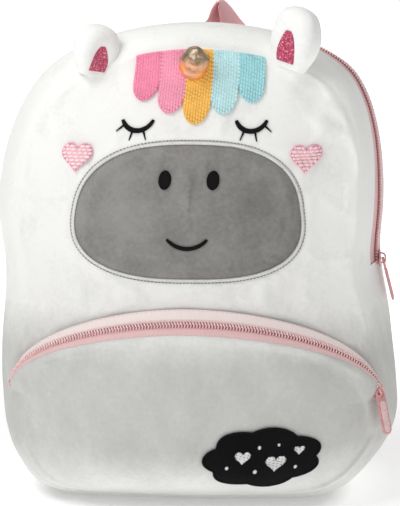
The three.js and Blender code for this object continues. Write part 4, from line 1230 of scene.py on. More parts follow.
def camera():
    a, e = math.radians(view_azimuth), math.radians(view_elevation)
    back = Vector((math.sin(a) * math.cos(e), -math.cos(a) * math.cos(e), math.sin(e)))
    side = Vector((math.cos(a), math.sin(a), 0))
    up = back.cross(side)
    data = bpy.data.cameras.new("camera")
    data.sensor_fit = "HORIZONTAL"
    data.sensor_width = sensor
    data.lens = lens
    data.clip_end = 50
    cam = bpy.data.objects.new("camera", data)
    bpy.context.scene.collection.objects.link(cam)
    aim = Vector(view_target) + side * view_shift[0] + up * view_shift[1]
    eye = (aim + back * view_distance) * MM
    cam.matrix_world = Matrix.Translation(eye) @ Matrix((side, up, back)).transposed().to_4x4()
    bpy.context.scene.camera = cam


def lamp(name, place, size, power, aim=(0, 0, 0.15), colour=(1, 1, 1)):
    data = bpy.data.lights.new(name, "AREA")
    data.shape = "DISK"
    data.size = size
    data.energy = power
    data.color = colour
    obj = bpy.data.objects.new(name, data)
    bpy.context.scene.collection.objects.link(obj)
    obj.location = place
    obj.visible_camera = False
    obj.rotation_euler = (Vector(aim) - Vector(place)).to_track_quat("-Z", "Y").to_euler()


def studio():
    lamp("key above the forehead", (-0.25, -0.3, 0.58), 0.25, 1.13, aim=(0, -0.05, 0.2))
    lamp("top light over the crown", (0.0, -0.04, 0.76), 0.3, 0.72, aim=(0, 0, 0.28))
    world = bpy.data.worlds.new("white surround")
    bpy.context.scene.world = world
    world.use_nodes = True
    nodes, links = world.node_tree.nodes, world.node_tree.links
    seen = nodes.new("ShaderNodeLightPath")
    strength = nodes.new("ShaderNodeMapRange")
    strength.inputs["To Min"].default_value = 0.335
    strength.inputs["To Max"].default_value = 1.05
    links.new(seen.outputs["Is Camera Ray"], strength.inputs["Value"])
    ground = nodes["Background"]
    ground.inputs["Color"].default_value = (1, 1, 1, 1)
    links.new(strength.outputs["Result"], ground.inputs["Strength"])
    settings = bpy.context.scene.view_settings
    settings.view_transform = "Standard"
    settings.look = "None"
    settings.exposure = 0
    settings.gamma = 1


def floor():
    finish = Finish("light table, white", (0.9, 0.9, 0.9), 0.9)
    finish.set("Emission Color", (1, 1, 1, 1))
    # Painted light: the floor glows, weaker within 0.16 m of the middle and at full strength beyond 0.42 m.
    radius = finish.node("ShaderNodeVectorMath", operation="LENGTH")
    finish.link(finish.where(), radius.inputs[0])
    glow = finish.node("ShaderNodeMapRange", interpolation_type="SMOOTHSTEP")
    glow.inputs["From Min"].default_value = 0.16
    glow.inputs["From Max"].default_value = 0.42
    glow.inputs["To Min"].default_value = 0.46
    glow.inputs["To Max"].default_value = 1.0
    finish.link(radius.outputs["Value"], glow.inputs["Value"])
    # Painted contact shadow: the glow is dimmed to 0.42 in a rounded patch round the bag's footprint.
    split = finish.node("ShaderNodeSeparateXYZ")
    finish.link(finish.where(), split.inputs[0])
    across = finish.math("POWER", finish.math("ABSOLUTE", finish.math("MULTIPLY", split.outputs["X"], 1 / 0.112)), 3)
    along = finish.math("MULTIPLY", finish.math("ADD", split.outputs["Y"], 0.008), 1 / 0.064)
    along = finish.math("POWER", finish.math("ABSOLUTE", along), 3)
    clear = finish.between(finish.math("ADD", across, along), 0.56, 0.86)
    clear = finish.math("ADD", finish.math("MULTIPLY", clear, 0.58), 0.42)
    finish.link(finish.math("MULTIPLY", glow.outputs["Result"], clear), finish.shader.inputs["Emission Strength"])
    size = 4000
    corners = np.array([(-size, -size, 0), (size, -size, 0), (size, size, 0), (-size, size, 0)], float)
    obj = finish_mesh("floor", corners, [(0, 1, 2, 3)], finish.material, smooth=False)


# Body

def seam_sink(distance):
    return seam_tuck * np.exp(-((np.maximum(distance, 0) / seam_reach) ** 1.2))


def hem_sink(distance):
    """Depth of a plush edge that rolls in over a hem, by distance from the edge."""
    near = np.clip(1 - distance / hem_radius, 0, 1)
    return hem_radius * (1 - np.sqrt(1 - near**2 * 0.98))


def puckers(angle, radius, distance, seed):
    length = radius * np.stack([np.cos(angle), np.sin(angle)], -1)
    return 0.42 * ripple(length, 13, seed) * np.exp(-distance / 9) * np.clip(distance / 2.5, 0, 1)


def settle_panels():
    def face_sewn(x, z):
        at_muzzle = np.abs(muzzle_distance(x, z)) < 4.5
        behind_pocket = (arch_distance(x, z) < 3.5) & (z > arch_base) | (z <= arch_base)
        return at_muzzle | behind_pocket

    settled["face"] = settled_panel(front_point, face_depth, face_sewn, 30, 0.035, 2.6)
    settled["pocket"] = settled_panel(pocket_point, pocket_depth, lambda x, z: x > 1e3, 30, 0.035, 2.6)


def front_panel():
    angle = np.linspace(0, TAU, 360, endpoint=False)[None]
    share = (1 - (1 - np.linspace(0, 1, 60)) ** 1.7)[:, None]
    outer = front_point(angle, share)
    distance = (1 - share) * front_rim(angle)
    radial = polar_point(angle, 1.0, 0) - (0, 0, hub)
    outer += radial * (gap * share)[..., None]
    relief = outer[..., 1] - face_depth(outer[..., 0], outer[..., 2])
    relief = relief * (1 - bell(distance, 5))
    relief = relief + puckers(angle + 0 * share, 150, distance, 11)
    sink = seam_sink(distance)
    outer[..., 1] += -relief + sink
    outer -= radial * sink[..., None]
    tucked = outer[-1] - radial[0] * 1.1 + (0, 1.6, 0)
    outer = np.concatenate([outer, tucked[None]])
    inner_share = np.append(share[:, 0], 1.0)[:, None]
    inner = front_point(angle, inner_share, plush_wall + 0.4)
    inner -= radial * 2.2 * inner_share[..., None]
    inner[-1, :, 1] += 0.6
    piece = shell("plush_front", outer, inner, looks["pocket"], closed=True, pole=True)
    place(piece, "plush_white", "front_panel")


def back_panel():
    angle = np.linspace(0, TAU, 300, endpoint=False)[None]
    share = (1 - (1 - np.linspace(0, 1, 44)) ** 1.7)[:, None]
    outer = back_point(angle, share)
    distance = (1 - share) * back_rim(angle)
    radial = polar_point(angle, 1.0, 0) - (0, 0, hub)
    outer += radial * (gap * share)[..., None]
    spots = outer[..., [0, 2]]
    relief = (0.8 * ripple(spots, 85, 21) + 0.3 * ripple(spots, 30, 22)) * (1 - bell(distance, 10))
    relief = relief + puckers(angle + 0 * share, 150, distance, 23)
    sink = seam_sink(distance)
    outer[..., 1] += relief - sink
    outer -= radial * sink[..., None]
    tucked = outer[-1] - radial[0] * 1.1 - (0, 1.6, 0)
    outer = np.concatenate([outer, tucked[None]])
    inner_share = np.append(share[:, 0], 1.0)[:, None]
    inner = back_point(angle, inner_share, back_wall + 0.4)
    inner -= radial * 2.2 * inner_share[..., None]
    flat = np.stack([outer[..., 0], outer[..., 2]], -1)
    piece = shell("back_cloth", outer, inner, looks["back"], closed=True, pole=True, uv=flat)
    place(piece, "back_cloth", "back_panel")


main_zip_half = coil_width / 2 + gap + tape_width + gap


def gusset(name, node, first, last, from_depth, to_depth, edges, seed, cloth="pocket"):
    """A plush strip round the side of the bag. edges say what is at each end of its rows:
    a seam or the hem beside a zip."""
    columns = int(260 * (last - first) / math.pi)
    angle = np.radians(np.linspace(math.degrees(first), math.degrees(last), columns))[None]
    t = np.linspace(-1, 1, 34)[:, None]
    across = 0.5 + 0.5 * np.sign(t) * (1 - (1 - np.abs(t)) ** 1.6)
    start, stop = from_depth(angle), to_depth(angle)
    depth = start + (stop - start) * across
    wide = np.abs(stop - start)
    sink = np.zeros_like(depth)
    shift = np.zeros_like(depth)
    for edge, distance, inward in ((edges[0], across * wide, 1), (edges[1], (1 - across) * wide, -1)):
        if edge == "seam":
            sink += seam_sink(distance)
            shift += inward * seam_sink(distance)
        else:
            sink += hem_sink(distance)
    ends = np.minimum(angle - first, last - angle) * ring_radius(angle)
    outer = gusset_point(angle, depth, 0)
    outer[..., 1] += shift
    outer -= (polar_point(angle, 1.0, 0) - (0, 0, hub)) * sink[..., None]
    relief = 0.7 * ripple(outer, 75, seed) + 0.25 * ripple(outer, 28, seed + 1)
    relief += puckers(angle + 0 * depth, 150, across * wide, seed + 2)
    calm = np.clip(np.minimum(across, 1 - across) * wide / 7, 0, 1) * np.clip(ends / 12, 0, 1)
    radial = polar_point(angle, 1.0, 0) - (0, 0, hub)
    outer += radial * (relief * calm)[..., None]
    outer[..., 2] = np.maximum(outer[..., 2], 0.15)
    inner_depth = start + (stop - start) * (0.04 + 0.92 * across)
    inner = gusset_point(angle, inner_depth, plush_wall + 0.6)
    piece = shell(name, outer, inner, looks[cloth])
    piece.data.set_sharp_from_angle(angle=math.radians(55))
    place(piece, "plush_white", node)


def body():
    settle_panels()
    front_panel()
    back_panel()
    front_seam = lambda angle: -mix(angle, front_depth)
    back_seam = lambda angle: back_depth + 0 * angle
    zip_front = lambda angle: mix(angle, main_zip_depth) - main_zip_half
    zip_rear = lambda angle: mix(angle, main_zip_depth) + main_zip_half
    quarter = math.pi / 2
    gusset("plush_side_front", "gusset_front_strip", -quarter, quarter, front_seam, zip_front, ("seam", "hem"), 31)
    gusset("plush_side_rear", "gusset_rear_strip", -quarter, quarter, zip_rear, back_seam, ("hem", "seam"), 31)
    gusset("plush_base", "base_gusset", quarter, 3 * quarter, front_seam, back_seam, ("seam", "seam"), 31)


# Zips

def tape_strip(name, node, centre_at, edge_at, columns, material, thickness):
    """An empty stub that makes no tape; nothing calls it."""


def main_zip():
    trim = gap / body_width
    angle = np.linspace(trim - math.pi / 2, math.pi / 2 - trim, 320)
    depth = mix(angle, main_zip_depth)
    near = coil_width / 2 + 0.15
    length = np.concatenate([[0], np.cumsum(np.linalg.norm(np.diff(gusset_point(angle, depth), axis=0), axis=1))])
    for side, node in ((-1, "front"), (1, "rear")):
        across = np.linspace(0, 1, 9)
        reach = near + across * (tape_width + 0.3)
        bow = 0.35 * np.sin(across * math.pi) + 0.12 * np.cos(across * 9)
        sunk = tape_sink - bow[:, None] + 0.15 * np.sin(length / 23 + side)[None] * across[:, None]
        outer = gusset_point(angle[None], depth[None] + side * reach[:, None], sunk)
        inner = gusset_point(angle[None], depth[None] + side * reach[:, None], sunk + tape_thickness)
        uv = np.stack(np.broadcast_arrays(length[None], reach[:, None]), -1)
        piece = shell(f"zip_tape_{node}", outer, inner, looks["tape_deep"], uv=uv)
        rows = []
        for share in (0.86,):
            k = int(share * 8)
            path = outer[k]
            normal = polar_point(angle, 1.0, 0 * angle) - (0, 0, hub)
            rows.append(running_stitch(path, normal, 2.3, 0.7, 0.1))
        seam = sew(f"zip_seam_{node}", rows, looks["blush"], 0.4, 0.3)
        piece = join(f"zip_tape_{node}", [piece, seam])
        place(piece, "zip_tape", f"main_zip_tape_{node}")
    outward = polar_point(angle, 1.0, 0 * angle) - (0, 0, hub)
    coil("zip_coil", "main_zip_coil", gusset_point(angle, depth, tape_sink), outward, length)


def coil(name, node, path, outward, length):
    """Nylon coil: a core and two rows of interlocked loops. The heads where the loops meet are painted pale as
    highlights, and the core is painted dark as the shade between the teeth.
    """
    total = length[-1]
    count = int(total / tooth_pitch)
    at = (np.arange(count) + 0.5) * total / count
    along_path = np.gradient(path, axis=0)
    sideways = unit(np.cross(unit(along_path), outward))
    marks = []
    for side in (-1, 1):
        spot = at + (0.25 * tooth_pitch) * side
        centre = np.stack([np.interp(spot, length, path[:, k]) for k in range(3)], -1)
        across = np.stack([np.interp(spot, length, sideways[:, k]) for k in range(3)], -1)
        out = unit(np.stack([np.interp(spot, length, outward[:, k]) for k in range(3)], -1))
        ahead = unit(np.stack([np.interp(spot, length, along_path[:, k]) for k in range(3)], -1))
        places = centre + across * side * 1.5 + out * (0.35 * coil_rise)
        marks.append((places, across + 0.25 * side * ahead, out, np.full(count, 3.3)))
    teeth = sew(f"{name}_teeth", marks, looks["coil"], 1.1, 2.0, sides=8, unevenness=0.02)
    centre = np.stack([np.interp(at, length, path[:, k]) for k in range(3)], -1)
    out = unit(np.stack([np.interp(at, length, outward[:, k]) for k in range(3)], -1))
    high = centre + out * (0.72 * coil_rise)
    heads = sew(f"{name}_heads", [(high, across, out, np.full(count, 1.8))], looks["head"], 1.1, 1.3)
    half = coil_width / 2
    profile = [(-half, -0.9), (-half, 0.15), (-0.4 * half, 0.3), (0.4 * half, 0.3), (half, 0.15), (half, -0.9)]
    rings = [path + sideways * a + outward * b for a, b in profile]
    core = loft(f"{name}_core", np.stack(rings, 1), looks["coil_core"])
    place(join(name, [core, teeth, heads]), "zip_coil", node)


coil_place = 0.58  # of the pocket's coil, between the two edges of its zip


def pocket_zip():
    ends = math.radians(band_end)
    turn = np.linspace(ends, math.pi - ends, 260)
    middle = band_point(turn, coil_place)
    length = np.concatenate([[0], np.cumsum(np.linalg.norm(np.diff(middle, axis=0), axis=1))])
    top, bottom = band_edges(np.array([math.pi / 2]))
    wide = float(np.linalg.norm(top - bottom))
    reach = (coil_width / 2 + 0.15) / wide
    lift = band_point(turn, coil_place, 1.0) - middle
    for node, low, high in (("upper", coil_place - reach, 0.0), ("lower", coil_place + reach, 1.0)):
        across = np.linspace(0, 1, 9)
        share = low + (high - low) * across
        bow = 0.4 * np.sin(across * math.pi)[:, None] + 0.25 * np.sin(length / 19 + high * 2)[None] * across[:, None]
        outer = band_point(turn[None], share[:, None], bow)
        inner = band_point(turn[None], share[:, None], bow - tape_thickness)
        beside = coil_width / 2 + across * abs(high - low) * wide
        uv = np.stack(np.broadcast_arrays(length[None], beside[:, None]), -1)
        # The upper tape takes the copy painted paler, as lit.
        cloth = looks["tape_painted_lit" if node == "upper" else "tape"]
        piece = shell(f"pocket_tape_{node}", outer, inner, cloth, uv=uv)
        rows = [running_stitch(outer[k], lift, 2.3, 0.7, 0.1) for k in ((7,) if node == "upper" else (7,))]
        seam = sew(f"pocket_seam_{node}", rows, looks["pale"], 0.4, 0.3)
        place(join(f"pocket_tape_{node}", [piece, seam]), "zip_tape", f"pocket_zip_tape_{node}")
    coil("pocket_coil", "pocket_zip_coil", middle, lift, length)


def flat_solid(name, outlines, thickness, bevel, material):
    """A flat plate with rounded edges from closed outlines in millimetres; inner ones are holes."""
    curve = bpy.data.curves.new(name, "CURVE")
    curve.dimensions = "2D"
    curve.fill_mode = "BOTH"
    curve.extrude = max(thickness / 2 - bevel, 0.01) * MM
    curve.bevel_depth = bevel * MM
    curve.bevel_resolution = 3
    curve.offset = -bevel * MM
    for points in outlines:
        spline = curve.splines.new("POLY")
        spline.points.add(len(points) - 1)
        for point, (x, y) in zip(spline.points, points):
            point.co = (x * MM, y * MM, 0, 1)
        spline.use_cyclic_u = True
    obj = bpy.data.objects.new(name, curve)
    bpy.context.scene.collection.objects.link(obj)
    graph = bpy.context.evaluated_depsgraph_get()
    mesh = bpy.data.meshes.new_from_object(obj.evaluated_get(graph), depsgraph=graph)
    bpy.data.objects.remove(obj)
    mesh.materials.clear()
    mesh.materials.append(material)
    piece = bpy.data.objects.new(name, mesh)
    bpy.context.scene.collection.objects.link(piece)
    weld_mesh(piece)
    return piece


def weld_mesh(piece):
    import bmesh
    work = bmesh.new()
    work.from_mesh(piece.data)
    bmesh.ops.remove_doubles(work, verts=work.verts, dist=0.01 * MM)
    bmesh.ops.recalc_face_normals(work, faces=work.faces)
    for face in work.faces:
        face.smooth = True
    work.to_mesh(piece.data)
    work.free()
    piece.data.set_sharp_from_angle(angle=math.radians(50))


def tube(name, points, radius, material, sides=12):
    """A round bar along a path of places in millimetres, with closed ends."""
    points = np.asarray(points, float)
    along = unit(np.gradient(points, axis=0))
    side = np.cross(along, (0, 0, 1.0))
    side = unit(np.where(np.linalg.norm(side, axis=1, keepdims=True) < 1e-3, (1.0, 0, 0), side))
    other = np.cross(along, side)
    around = np.linspace(0, TAU, sides, endpoint=False)
    rings = []
    sizes = np.ones(len(points)) * radius
    for p, s, o, r in zip(points, side, other, sizes):
        rings.append(p + r * (np.cos(around)[:, None] * s + np.sin(around)[:, None] * o))
    return loft(name, np.stack(rings), material)


def set_frame(piece, x, y, z, origin):
    """Moves a piece's mesh from its own frame to a place in the bag, in millimetres."""
    turn = Matrix((Vector(x), Vector(y), Vector(z))).transposed().to_4x4()
    piece.data.transform(Matrix.Translation(Vector(origin) * MM) @ turn)
    piece.data.update()


def slot_outline(half_width, low, high, steps=20):
    """A long outline with round ends, from low to high along Y."""
    turn = np.linspace(0, math.pi, steps)
    upper = [(half_width * math.cos(t), high - half_width + half_width * math.sin(t)) for t in turn]
    lower = [(-half_width * math.cos(t), low + half_width - half_width * math.sin(t)) for t in turn]
    return upper + lower


def slider(name, place_at, along, out, swing=0.0):
    """A zip slider with its crown, and the pull that hangs from it."""
    y = unit(np.asarray(along, float))
    z = unit(out - y * np.dot(out, y))
    x = np.cross(y, z)
    half_wide, half_long = slider_width / 2, slider_length / 2
    plan = [
        (-0.55 * half_wide, -half_long), (0.55 * half_wide, -half_long), (0.8 * half_wide, -0.6 * half_long),
        (half_wide, -0.2 * half_long), (half_wide, 0.75 * half_long), (0.7 * half_wide, half_long),
        (0.12 * half_wide, 0.86 * half_long), (-0.12 * half_wide, 0.86 * half_long),
        (-0.7 * half_wide, half_long), (-half_wide, 0.75 * half_long), (-half_wide, -0.2 * half_long),
        (-0.8 * half_wide, -0.6 * half_long),
    ]
    plate = flat_solid(f"{name}_plate", [plan], slider_plate, 0.5, looks["metal"])
    plate.data.transform(Matrix.Translation((0, 0, slider_plate / 2 * MM)))
    reach = 0.62 * half_long
    rise = slider_plate + 0.62 * crown_height
    arch = [
        (0, -reach, slider_plate - 0.4), (0, -0.96 * reach, 0.55 * rise), (0, -0.72 * reach, 0.9 * rise),
        (0, -0.4 * reach, rise), (0, 0.35 * reach, rise), (0, 0.8 * reach, 0.93 * rise),
        (0, 0.97 * reach, 0.7 * rise), (0, 0.96 * reach, slider_plate - 0.4),
    ]
    path = smooth_curve(arch, np.linspace(0, len(arch) - 1, 40))
    crown = tube(f"{name}_crown", path, 0.6, looks["metal"])
    flange = []
    for side in (-1, 1):
        edge = [(side * half_wide * 0.96, -0.15 * half_long, 0.7), (side * half_wide * 0.96, 0.72 * half_long, 0.7)]
        bar = tube(f"{name}_rail_{side}", smooth_curve(edge, np.linspace(0, 1, 12)), 0.85, looks["metal"])
        flange.append(bar)
    whole = join(f"{name}_body", [plate, crown, *flange])
    set_frame(whole, x, y, z, place_at)
    place(whole, "slider_metal", f"{name}_slider")

    eye_wall = (pull_width - pull_eye) / 2
    low, high = -pull_eye / 2 - eye_wall, pull_length - pull_eye / 2 - eye_wall
    rim = slot_outline(pull_width / 2, low, high)
    hole = slot_outline(pull_eye / 2, -pull_eye / 2, pull_eye / 2 + 0.01)[::-1]
    tab = flat_solid(f"{name}_tab", [rim, hole], pull_thickness, 0.45, looks["pull"])
    panel = slot_outline(pull_width / 2 - 1.15, low + 7.4, high - 1.5)
    inlay = flat_solid(f"{name}_inlay", [panel], pull_thickness + 0.5, 0.3, looks["pull_face"])
    pull = join(f"{name}_hanging", [tab, inlay])
    pull.data.transform(Matrix.Translation((0, 0, pull_thickness / 2 * MM)))
    eye = place_at + y * (reach - 0.4) + z * (slider_plate + pull_lift)
    down = unit(np.array([pull_lean * z[0] + swing, pull_lean * z[1], -1.0]))
    face = unit(z - down * np.dot(z, down))
    set_frame(pull, np.cross(down, face), down, face, eye)
    place(pull, "pull_pink", f"{name}_pull")


slider_drop = 3.2  # how far a slider has been pulled past the last tooth
slider_pushed = (-1.2, -3.4, 0)  # by the round of the pocket
slider_turned = (1.7, -1.1, 0)  # and turned to the front by it
pocket_slider_turn = 6.5


def sliders():
    angle = math.radians(main_slider_angle)

    def on_zip(turned):
        at = np.array([turned])
        return gusset_point(at, mix(at, main_zip_depth), tape_sink - coil_rise - gap)[0]

    out = np.array([math.sin(angle), 0, math.cos(angle)])
    down = unit(on_zip(angle + 0.02) - on_zip(angle - 0.02))
    slider("main_zip", on_zip(angle) + down * slider_drop, down, out)
    turn = math.radians(pocket_slider_turn)

    def on_band(turned, raised):
        return band_point(np.array([turned]), np.array([coil_place]), np.array([raised]))[0]

    along = on_band(turn - 0.02, 0) - on_band(turn + 0.02, 0)
    place_at = on_band(turn, coil_rise + gap) + slider_pushed
    slider("pocket_zip", place_at, along, unit(on_band(turn, 1.0) - on_band(turn, 0.0) + slider_turned), swing=0.06)


# Pocket

def pocket():
    angle = np.linspace(0, TAU, 420, endpoint=False)[None]
    share = (1 - (1 - np.linspace(0, 1, 60)) ** 1.7)[:, None]
    outer = pocket_point(angle, share)
    outer[..., 1] = pocket_surface(outer[..., 0], outer[..., 2])
    radius = pocket_radius(angle)
    distance = (1 - share) * radius
    rim_height = pocket_hub + radius * np.cos(angle)
    on_zip = np.clip((rim_height - arch_base) / 6, 0, 1)
    relief = outer[..., 1] - pocket_depth(outer[..., 0], outer[..., 2])
    overlap = on_zip * bell(distance, 6)
    outer[..., 0] += 1.7 * overlap * np.sin(angle)
    outer[..., 2] += 1.7 * overlap * np.cos(angle)
    sink = on_zip * (0.62 * hem_sink(distance) - 1.3 * bell(distance, 6)) + (1 - on_zip) * seam_sink(distance)
    outer[..., 1] += -relief * np.clip(distance / 6, 0, 1) + sink
    radial = np.stack([np.sin(angle), 0 * angle, np.cos(angle)], -1)
    tucked = outer[-1] - radial[0] * 0.4 + (0, 2.4, 0)
    outer = np.concatenate([outer, tucked[None]])
    inner_share = np.append(share[:, 0], 1.0)[:, None]
    inner = pocket_point(angle, inner_share)
    inner[..., 1] += plush_wall + 0.3
    inner -= radial * (0.8 * inner_share)[..., None]
    piece = shell("pocket_plush", outer, inner, looks["pocket"], closed=True, pole=True)
    place(piece, "plush_white", "pocket_panel")


# Ears and horn

def ear_frame(ear):
    angle = np.array([ear["side"] * math.radians(ear_seam_angle)])
    root = gusset_point(angle, -mix(angle, front_depth))[0] + ear["slide"]
    lean = math.radians(ear["lean"])
    up = np.array([math.sin(lean), 0, math.cos(lean)])
    turn = -ear["side"] * math.radians(ear_turn)
    front = np.array([math.sin(turn), -math.cos(turn), 0])
    front = unit(front - up * np.dot(front, up))
    across = np.cross(front, up)
    return root, up, front, across


def ear_ring(height):
    order = np.linspace(0, len(ear_rings) - 1, 200)
    curve = smooth_curve(ear_rings, order)
    wide = np.interp(height, curve[:, 0], curve[:, 1])
    thick = np.interp(height, curve[:, 0], curve[:, 2])
    return wide, thick


ear_hollow = 5.5
ear_hollow_width = 0.5
ear_hollow_height = 0.36


def ear(name, data):
    root, up, front, across = ear_frame(data)
    height = np.concatenate([np.linspace(0, 0.86, 34), 0.86 + 0.14 * np.sin(np.linspace(0.08, math.pi / 2, 14))])
    around = np.linspace(0, TAU, 84, endpoint=False)

    def hollow(turn, high):
        aside = (turn + math.pi) % TAU - math.pi
        return ear_hollow * bell(aside, ear_hollow_width) * bell(high - ear_hollow_height, 0.3)

    def skin(turn, high, raised):
        wide, thick = ear_ring(high)
        far = high * data["fold"] * (data["length"] + ear_sink) - ear_sink
        side = np.sin(turn) * (wide * data["width"] / 2 + raised)
        deep = np.cos(turn) * (thick * data["thickness"] / 2 + raised)
        return root + up * far[..., None] + across * side[..., None] + front * deep[..., None]

    high = height[:, None]
    turn = around[None]
    rough = ripple(skin(turn, high, 0), 17, 41) * 0.35
    seam = bell(np.abs(np.abs(np.sin(turn)) - 1) * 16, 1.0)
    points = skin(turn, high, rough - 0.9 * seam - hollow(turn, high))
    piece = loft(f"ear_{name}_plush", points, looks["white"])
    place(piece, "plush_white", f"ear_{name}")

    low, tall, half_turn = 0.1, 0.5, math.radians(33)
    high = low + np.linspace(0, tall, 20)[:, None]
    narrow = np.sqrt(np.clip(1 - ((high - low) / (tall * 1.03)) ** 2.4, 0, 1)) * (1 - 0.3 * (high - low) / tall)
    turn = np.linspace(-1, 1, 24)[None] * half_turn * narrow
    edge = np.maximum(np.abs(np.linspace(-1, 1, 24)[None]) ** 6, ((high - low) / tall) ** 8)
    sink = -hollow(turn, high)
    outer = skin(turn, high, sink + 0.3 + 0.8 * (1 - edge))
    lining = shell(f"ear_{name}_lining", outer, skin(turn, high, sink - 0.9), looks["glitter"])
    place(lining, "glitter_pink", f"ear_lining_{name}")


def horn():
    tilt = math.radians(horn_elevation)
    axis = unit(np.array([0.1, -math.cos(tilt), math.sin(tilt)]))
    height = horn_height + horn_lift
    middle = face_across - horn_shift
    root = np.array([middle, float(face_surface(middle, height)), height])
    across = unit(np.array([1.0, 0, 0]) - axis * axis[0])
    lift = np.cross(across, axis)
    share = np.concatenate([np.linspace(0, 0.9, 70), 0.9 + 0.098 * np.sin(np.linspace(0.06, math.pi / 2, 14))])
    around = np.linspace(0, TAU, 72, endpoint=False)
    radius = horn_radius * np.sqrt(np.clip(1 - share**1.7, 0.0, 1))
    wound = horn_turns * share[:, None] - around[None] / TAU
    phase = wound % 1
    bulge = 0.8 + 0.28 * np.sqrt(np.abs(np.sin(math.pi * phase)))
    folds = np.stack([np.cos(around)[None] + 0 * wound, np.sin(around)[None] + 0 * wound, 2.2 * wound], -1)
    creases = ripple(folds, 0.9, 51) * 0.055
    size = horn_settle * radius[:, None] * (bulge + creases)
    far = share * (horn_shrink * horn_length + horn_sink) - horn_sink
    points = root + axis * far[:, None, None]
    points = points + across * (size * np.cos(around))[..., None] + lift * (size * np.sin(around))[..., None]
    cone = loft("horn_foil", points, looks["foil"])
    place(cone, "horn_gold", "horn")


# Straps and handle

def blend(stations, column, share):
    return np.interp(share * (len(stations) - 1), np.arange(len(stations)), stations[:, column])


def ribbon(name, places, count, side_at, section, material):
    """A loft along a smooth line. section gives the ring round a point, by share of the line."""
    share = np.linspace(0, 1, count)
    spans = len(places) - 1
    points = smooth_curve(places, share * spans)
    along = unit(np.gradient(points, axis=0))
    side = side_at(share)
    side = unit(side - along * np.einsum("ij,ij->i", side, along)[:, None])
    normal = np.cross(along, side)
    length = np.concatenate([[0], np.cumsum(np.linalg.norm(np.diff(points, axis=0), axis=1))])
    a, b = section(share)
    rings = points[:, None] + side[:, None] * a[..., None] + normal[:, None] * b[..., None]
    uv = np.stack(np.broadcast_arrays(length[:, None], a), -1)
    return loft(name, rings, material, uv), points, side, normal, along, length


def flat_section(width, thickness, count=28):
    """Section of a webbing: flat, with round edges."""
    turn = np.linspace(0, TAU, count, endpoint=False)
    power = 0.28
    a = np.sign(np.cos(turn)) * np.abs(np.cos(turn)) ** power * width / 2
    b = np.sign(np.sin(turn)) * np.abs(np.sin(turn)) ** 0.75 * thickness / 2
    return lambda share: (np.tile(a, (len(share), 1)), np.tile(b, (len(share), 1)))


def handle():
    root = gusset_point(np.array([0.0]), np.array([float(back_depth)]))[0]
    places = np.stack([
        handle_across + handle_stations[:, 0] * handle_span,
        np.full(len(handle_stations), root[1] - plush_wall),
        root[2] + handle_stations[:, 1] * handle_rise,
    ], -1)

    def side(share):
        turn = np.radians(blend(handle_stations, 2, share))
        return np.stack([np.cos(turn), np.sin(turn), 0 * turn], -1)

    section = flat_section(handle_width, handle_thickness)
    piece, points, across, normal, along, length = ribbon("handle_webbing", places, 90, side, section, looks["webbing"])
    rows = []
    for edge in (-0.4, 0.4):
        for face in (-1, 1):
            path = points + across * edge * handle_width + normal * face * (handle_thickness / 2)
            rows.append(running_stitch(path[14:-14], normal[14:-14] * face, 2.2, 0.8, 0.05))
    seam = sew("handle_seam", rows, looks["blush"], 0.5, 0.35)
    place(join("handle_webbing", [piece, seam]), "webbing_pink", "handle")


def strap_section(share):
    turn = np.linspace(0, TAU, 56, endpoint=False)[None]
    wide = (blend(strap_stations, 2, share) * strap_width / 2)[:, None]
    thick = (blend(strap_stations, 3, share) * strap_pad / 2)[:, None]
    c, s = np.cos(turn), np.sin(turn)
    a = np.sign(c) * np.abs(c) ** 0.55 * wide
    b = np.sign(s) * np.abs(s) ** 0.6 * thick
    hem = bell(np.abs(np.abs(a) - (wide - 6)), 1.3)
    b = b * (1 - 0.32 * hem) * (0.55 + 0.45 * np.clip((wide - np.abs(a)) / 5, 0, 1) ** 0.6)
    return a, b


def straps():
    for name, side in (("left", -1), ("right", 1)):
        down = strap_stations[:, 0]
        places = np.stack([
            side * (strap_top_across + (strap_end_across - strap_top_across) * np.maximum(0, down)),
            back_depth + strap_stations[:, 1] * strap_reach,
            strap_top_height + (strap_end_height - strap_top_height) * down,
        ], -1)
        piece, points, across, normal, along, length = ribbon(
            f"strap_{name}", places, 120, lambda share: np.tile((1.0, 0, 0), (len(share), 1)), strap_section, looks["strap"]
        )
        rows = []
        share = np.linspace(0, 1, 120)
        wide = blend(strap_stations, 2, share) * strap_width / 2 - 6
        thick = blend(strap_stations, 3, share) * strap_pad / 2
        for edge in (-1, 1):
            for face in (-1, 1):
                path = points + across * (edge * wide)[:, None] + normal * (face * thick * 0.6)[:, None]
                rows.append(running_stitch(path[12:-3], normal[12:-3] * face, 2.6, 0.9, 0.2))
        seam = sew(f"strap_seam_{name}", rows, looks["blush"], 0.6, 0.45)
        place(join(f"strap_{name}", [piece, seam]), "webbing_pink", f"shoulder_strap_{name}")
        lower_webbing(name, side, places)


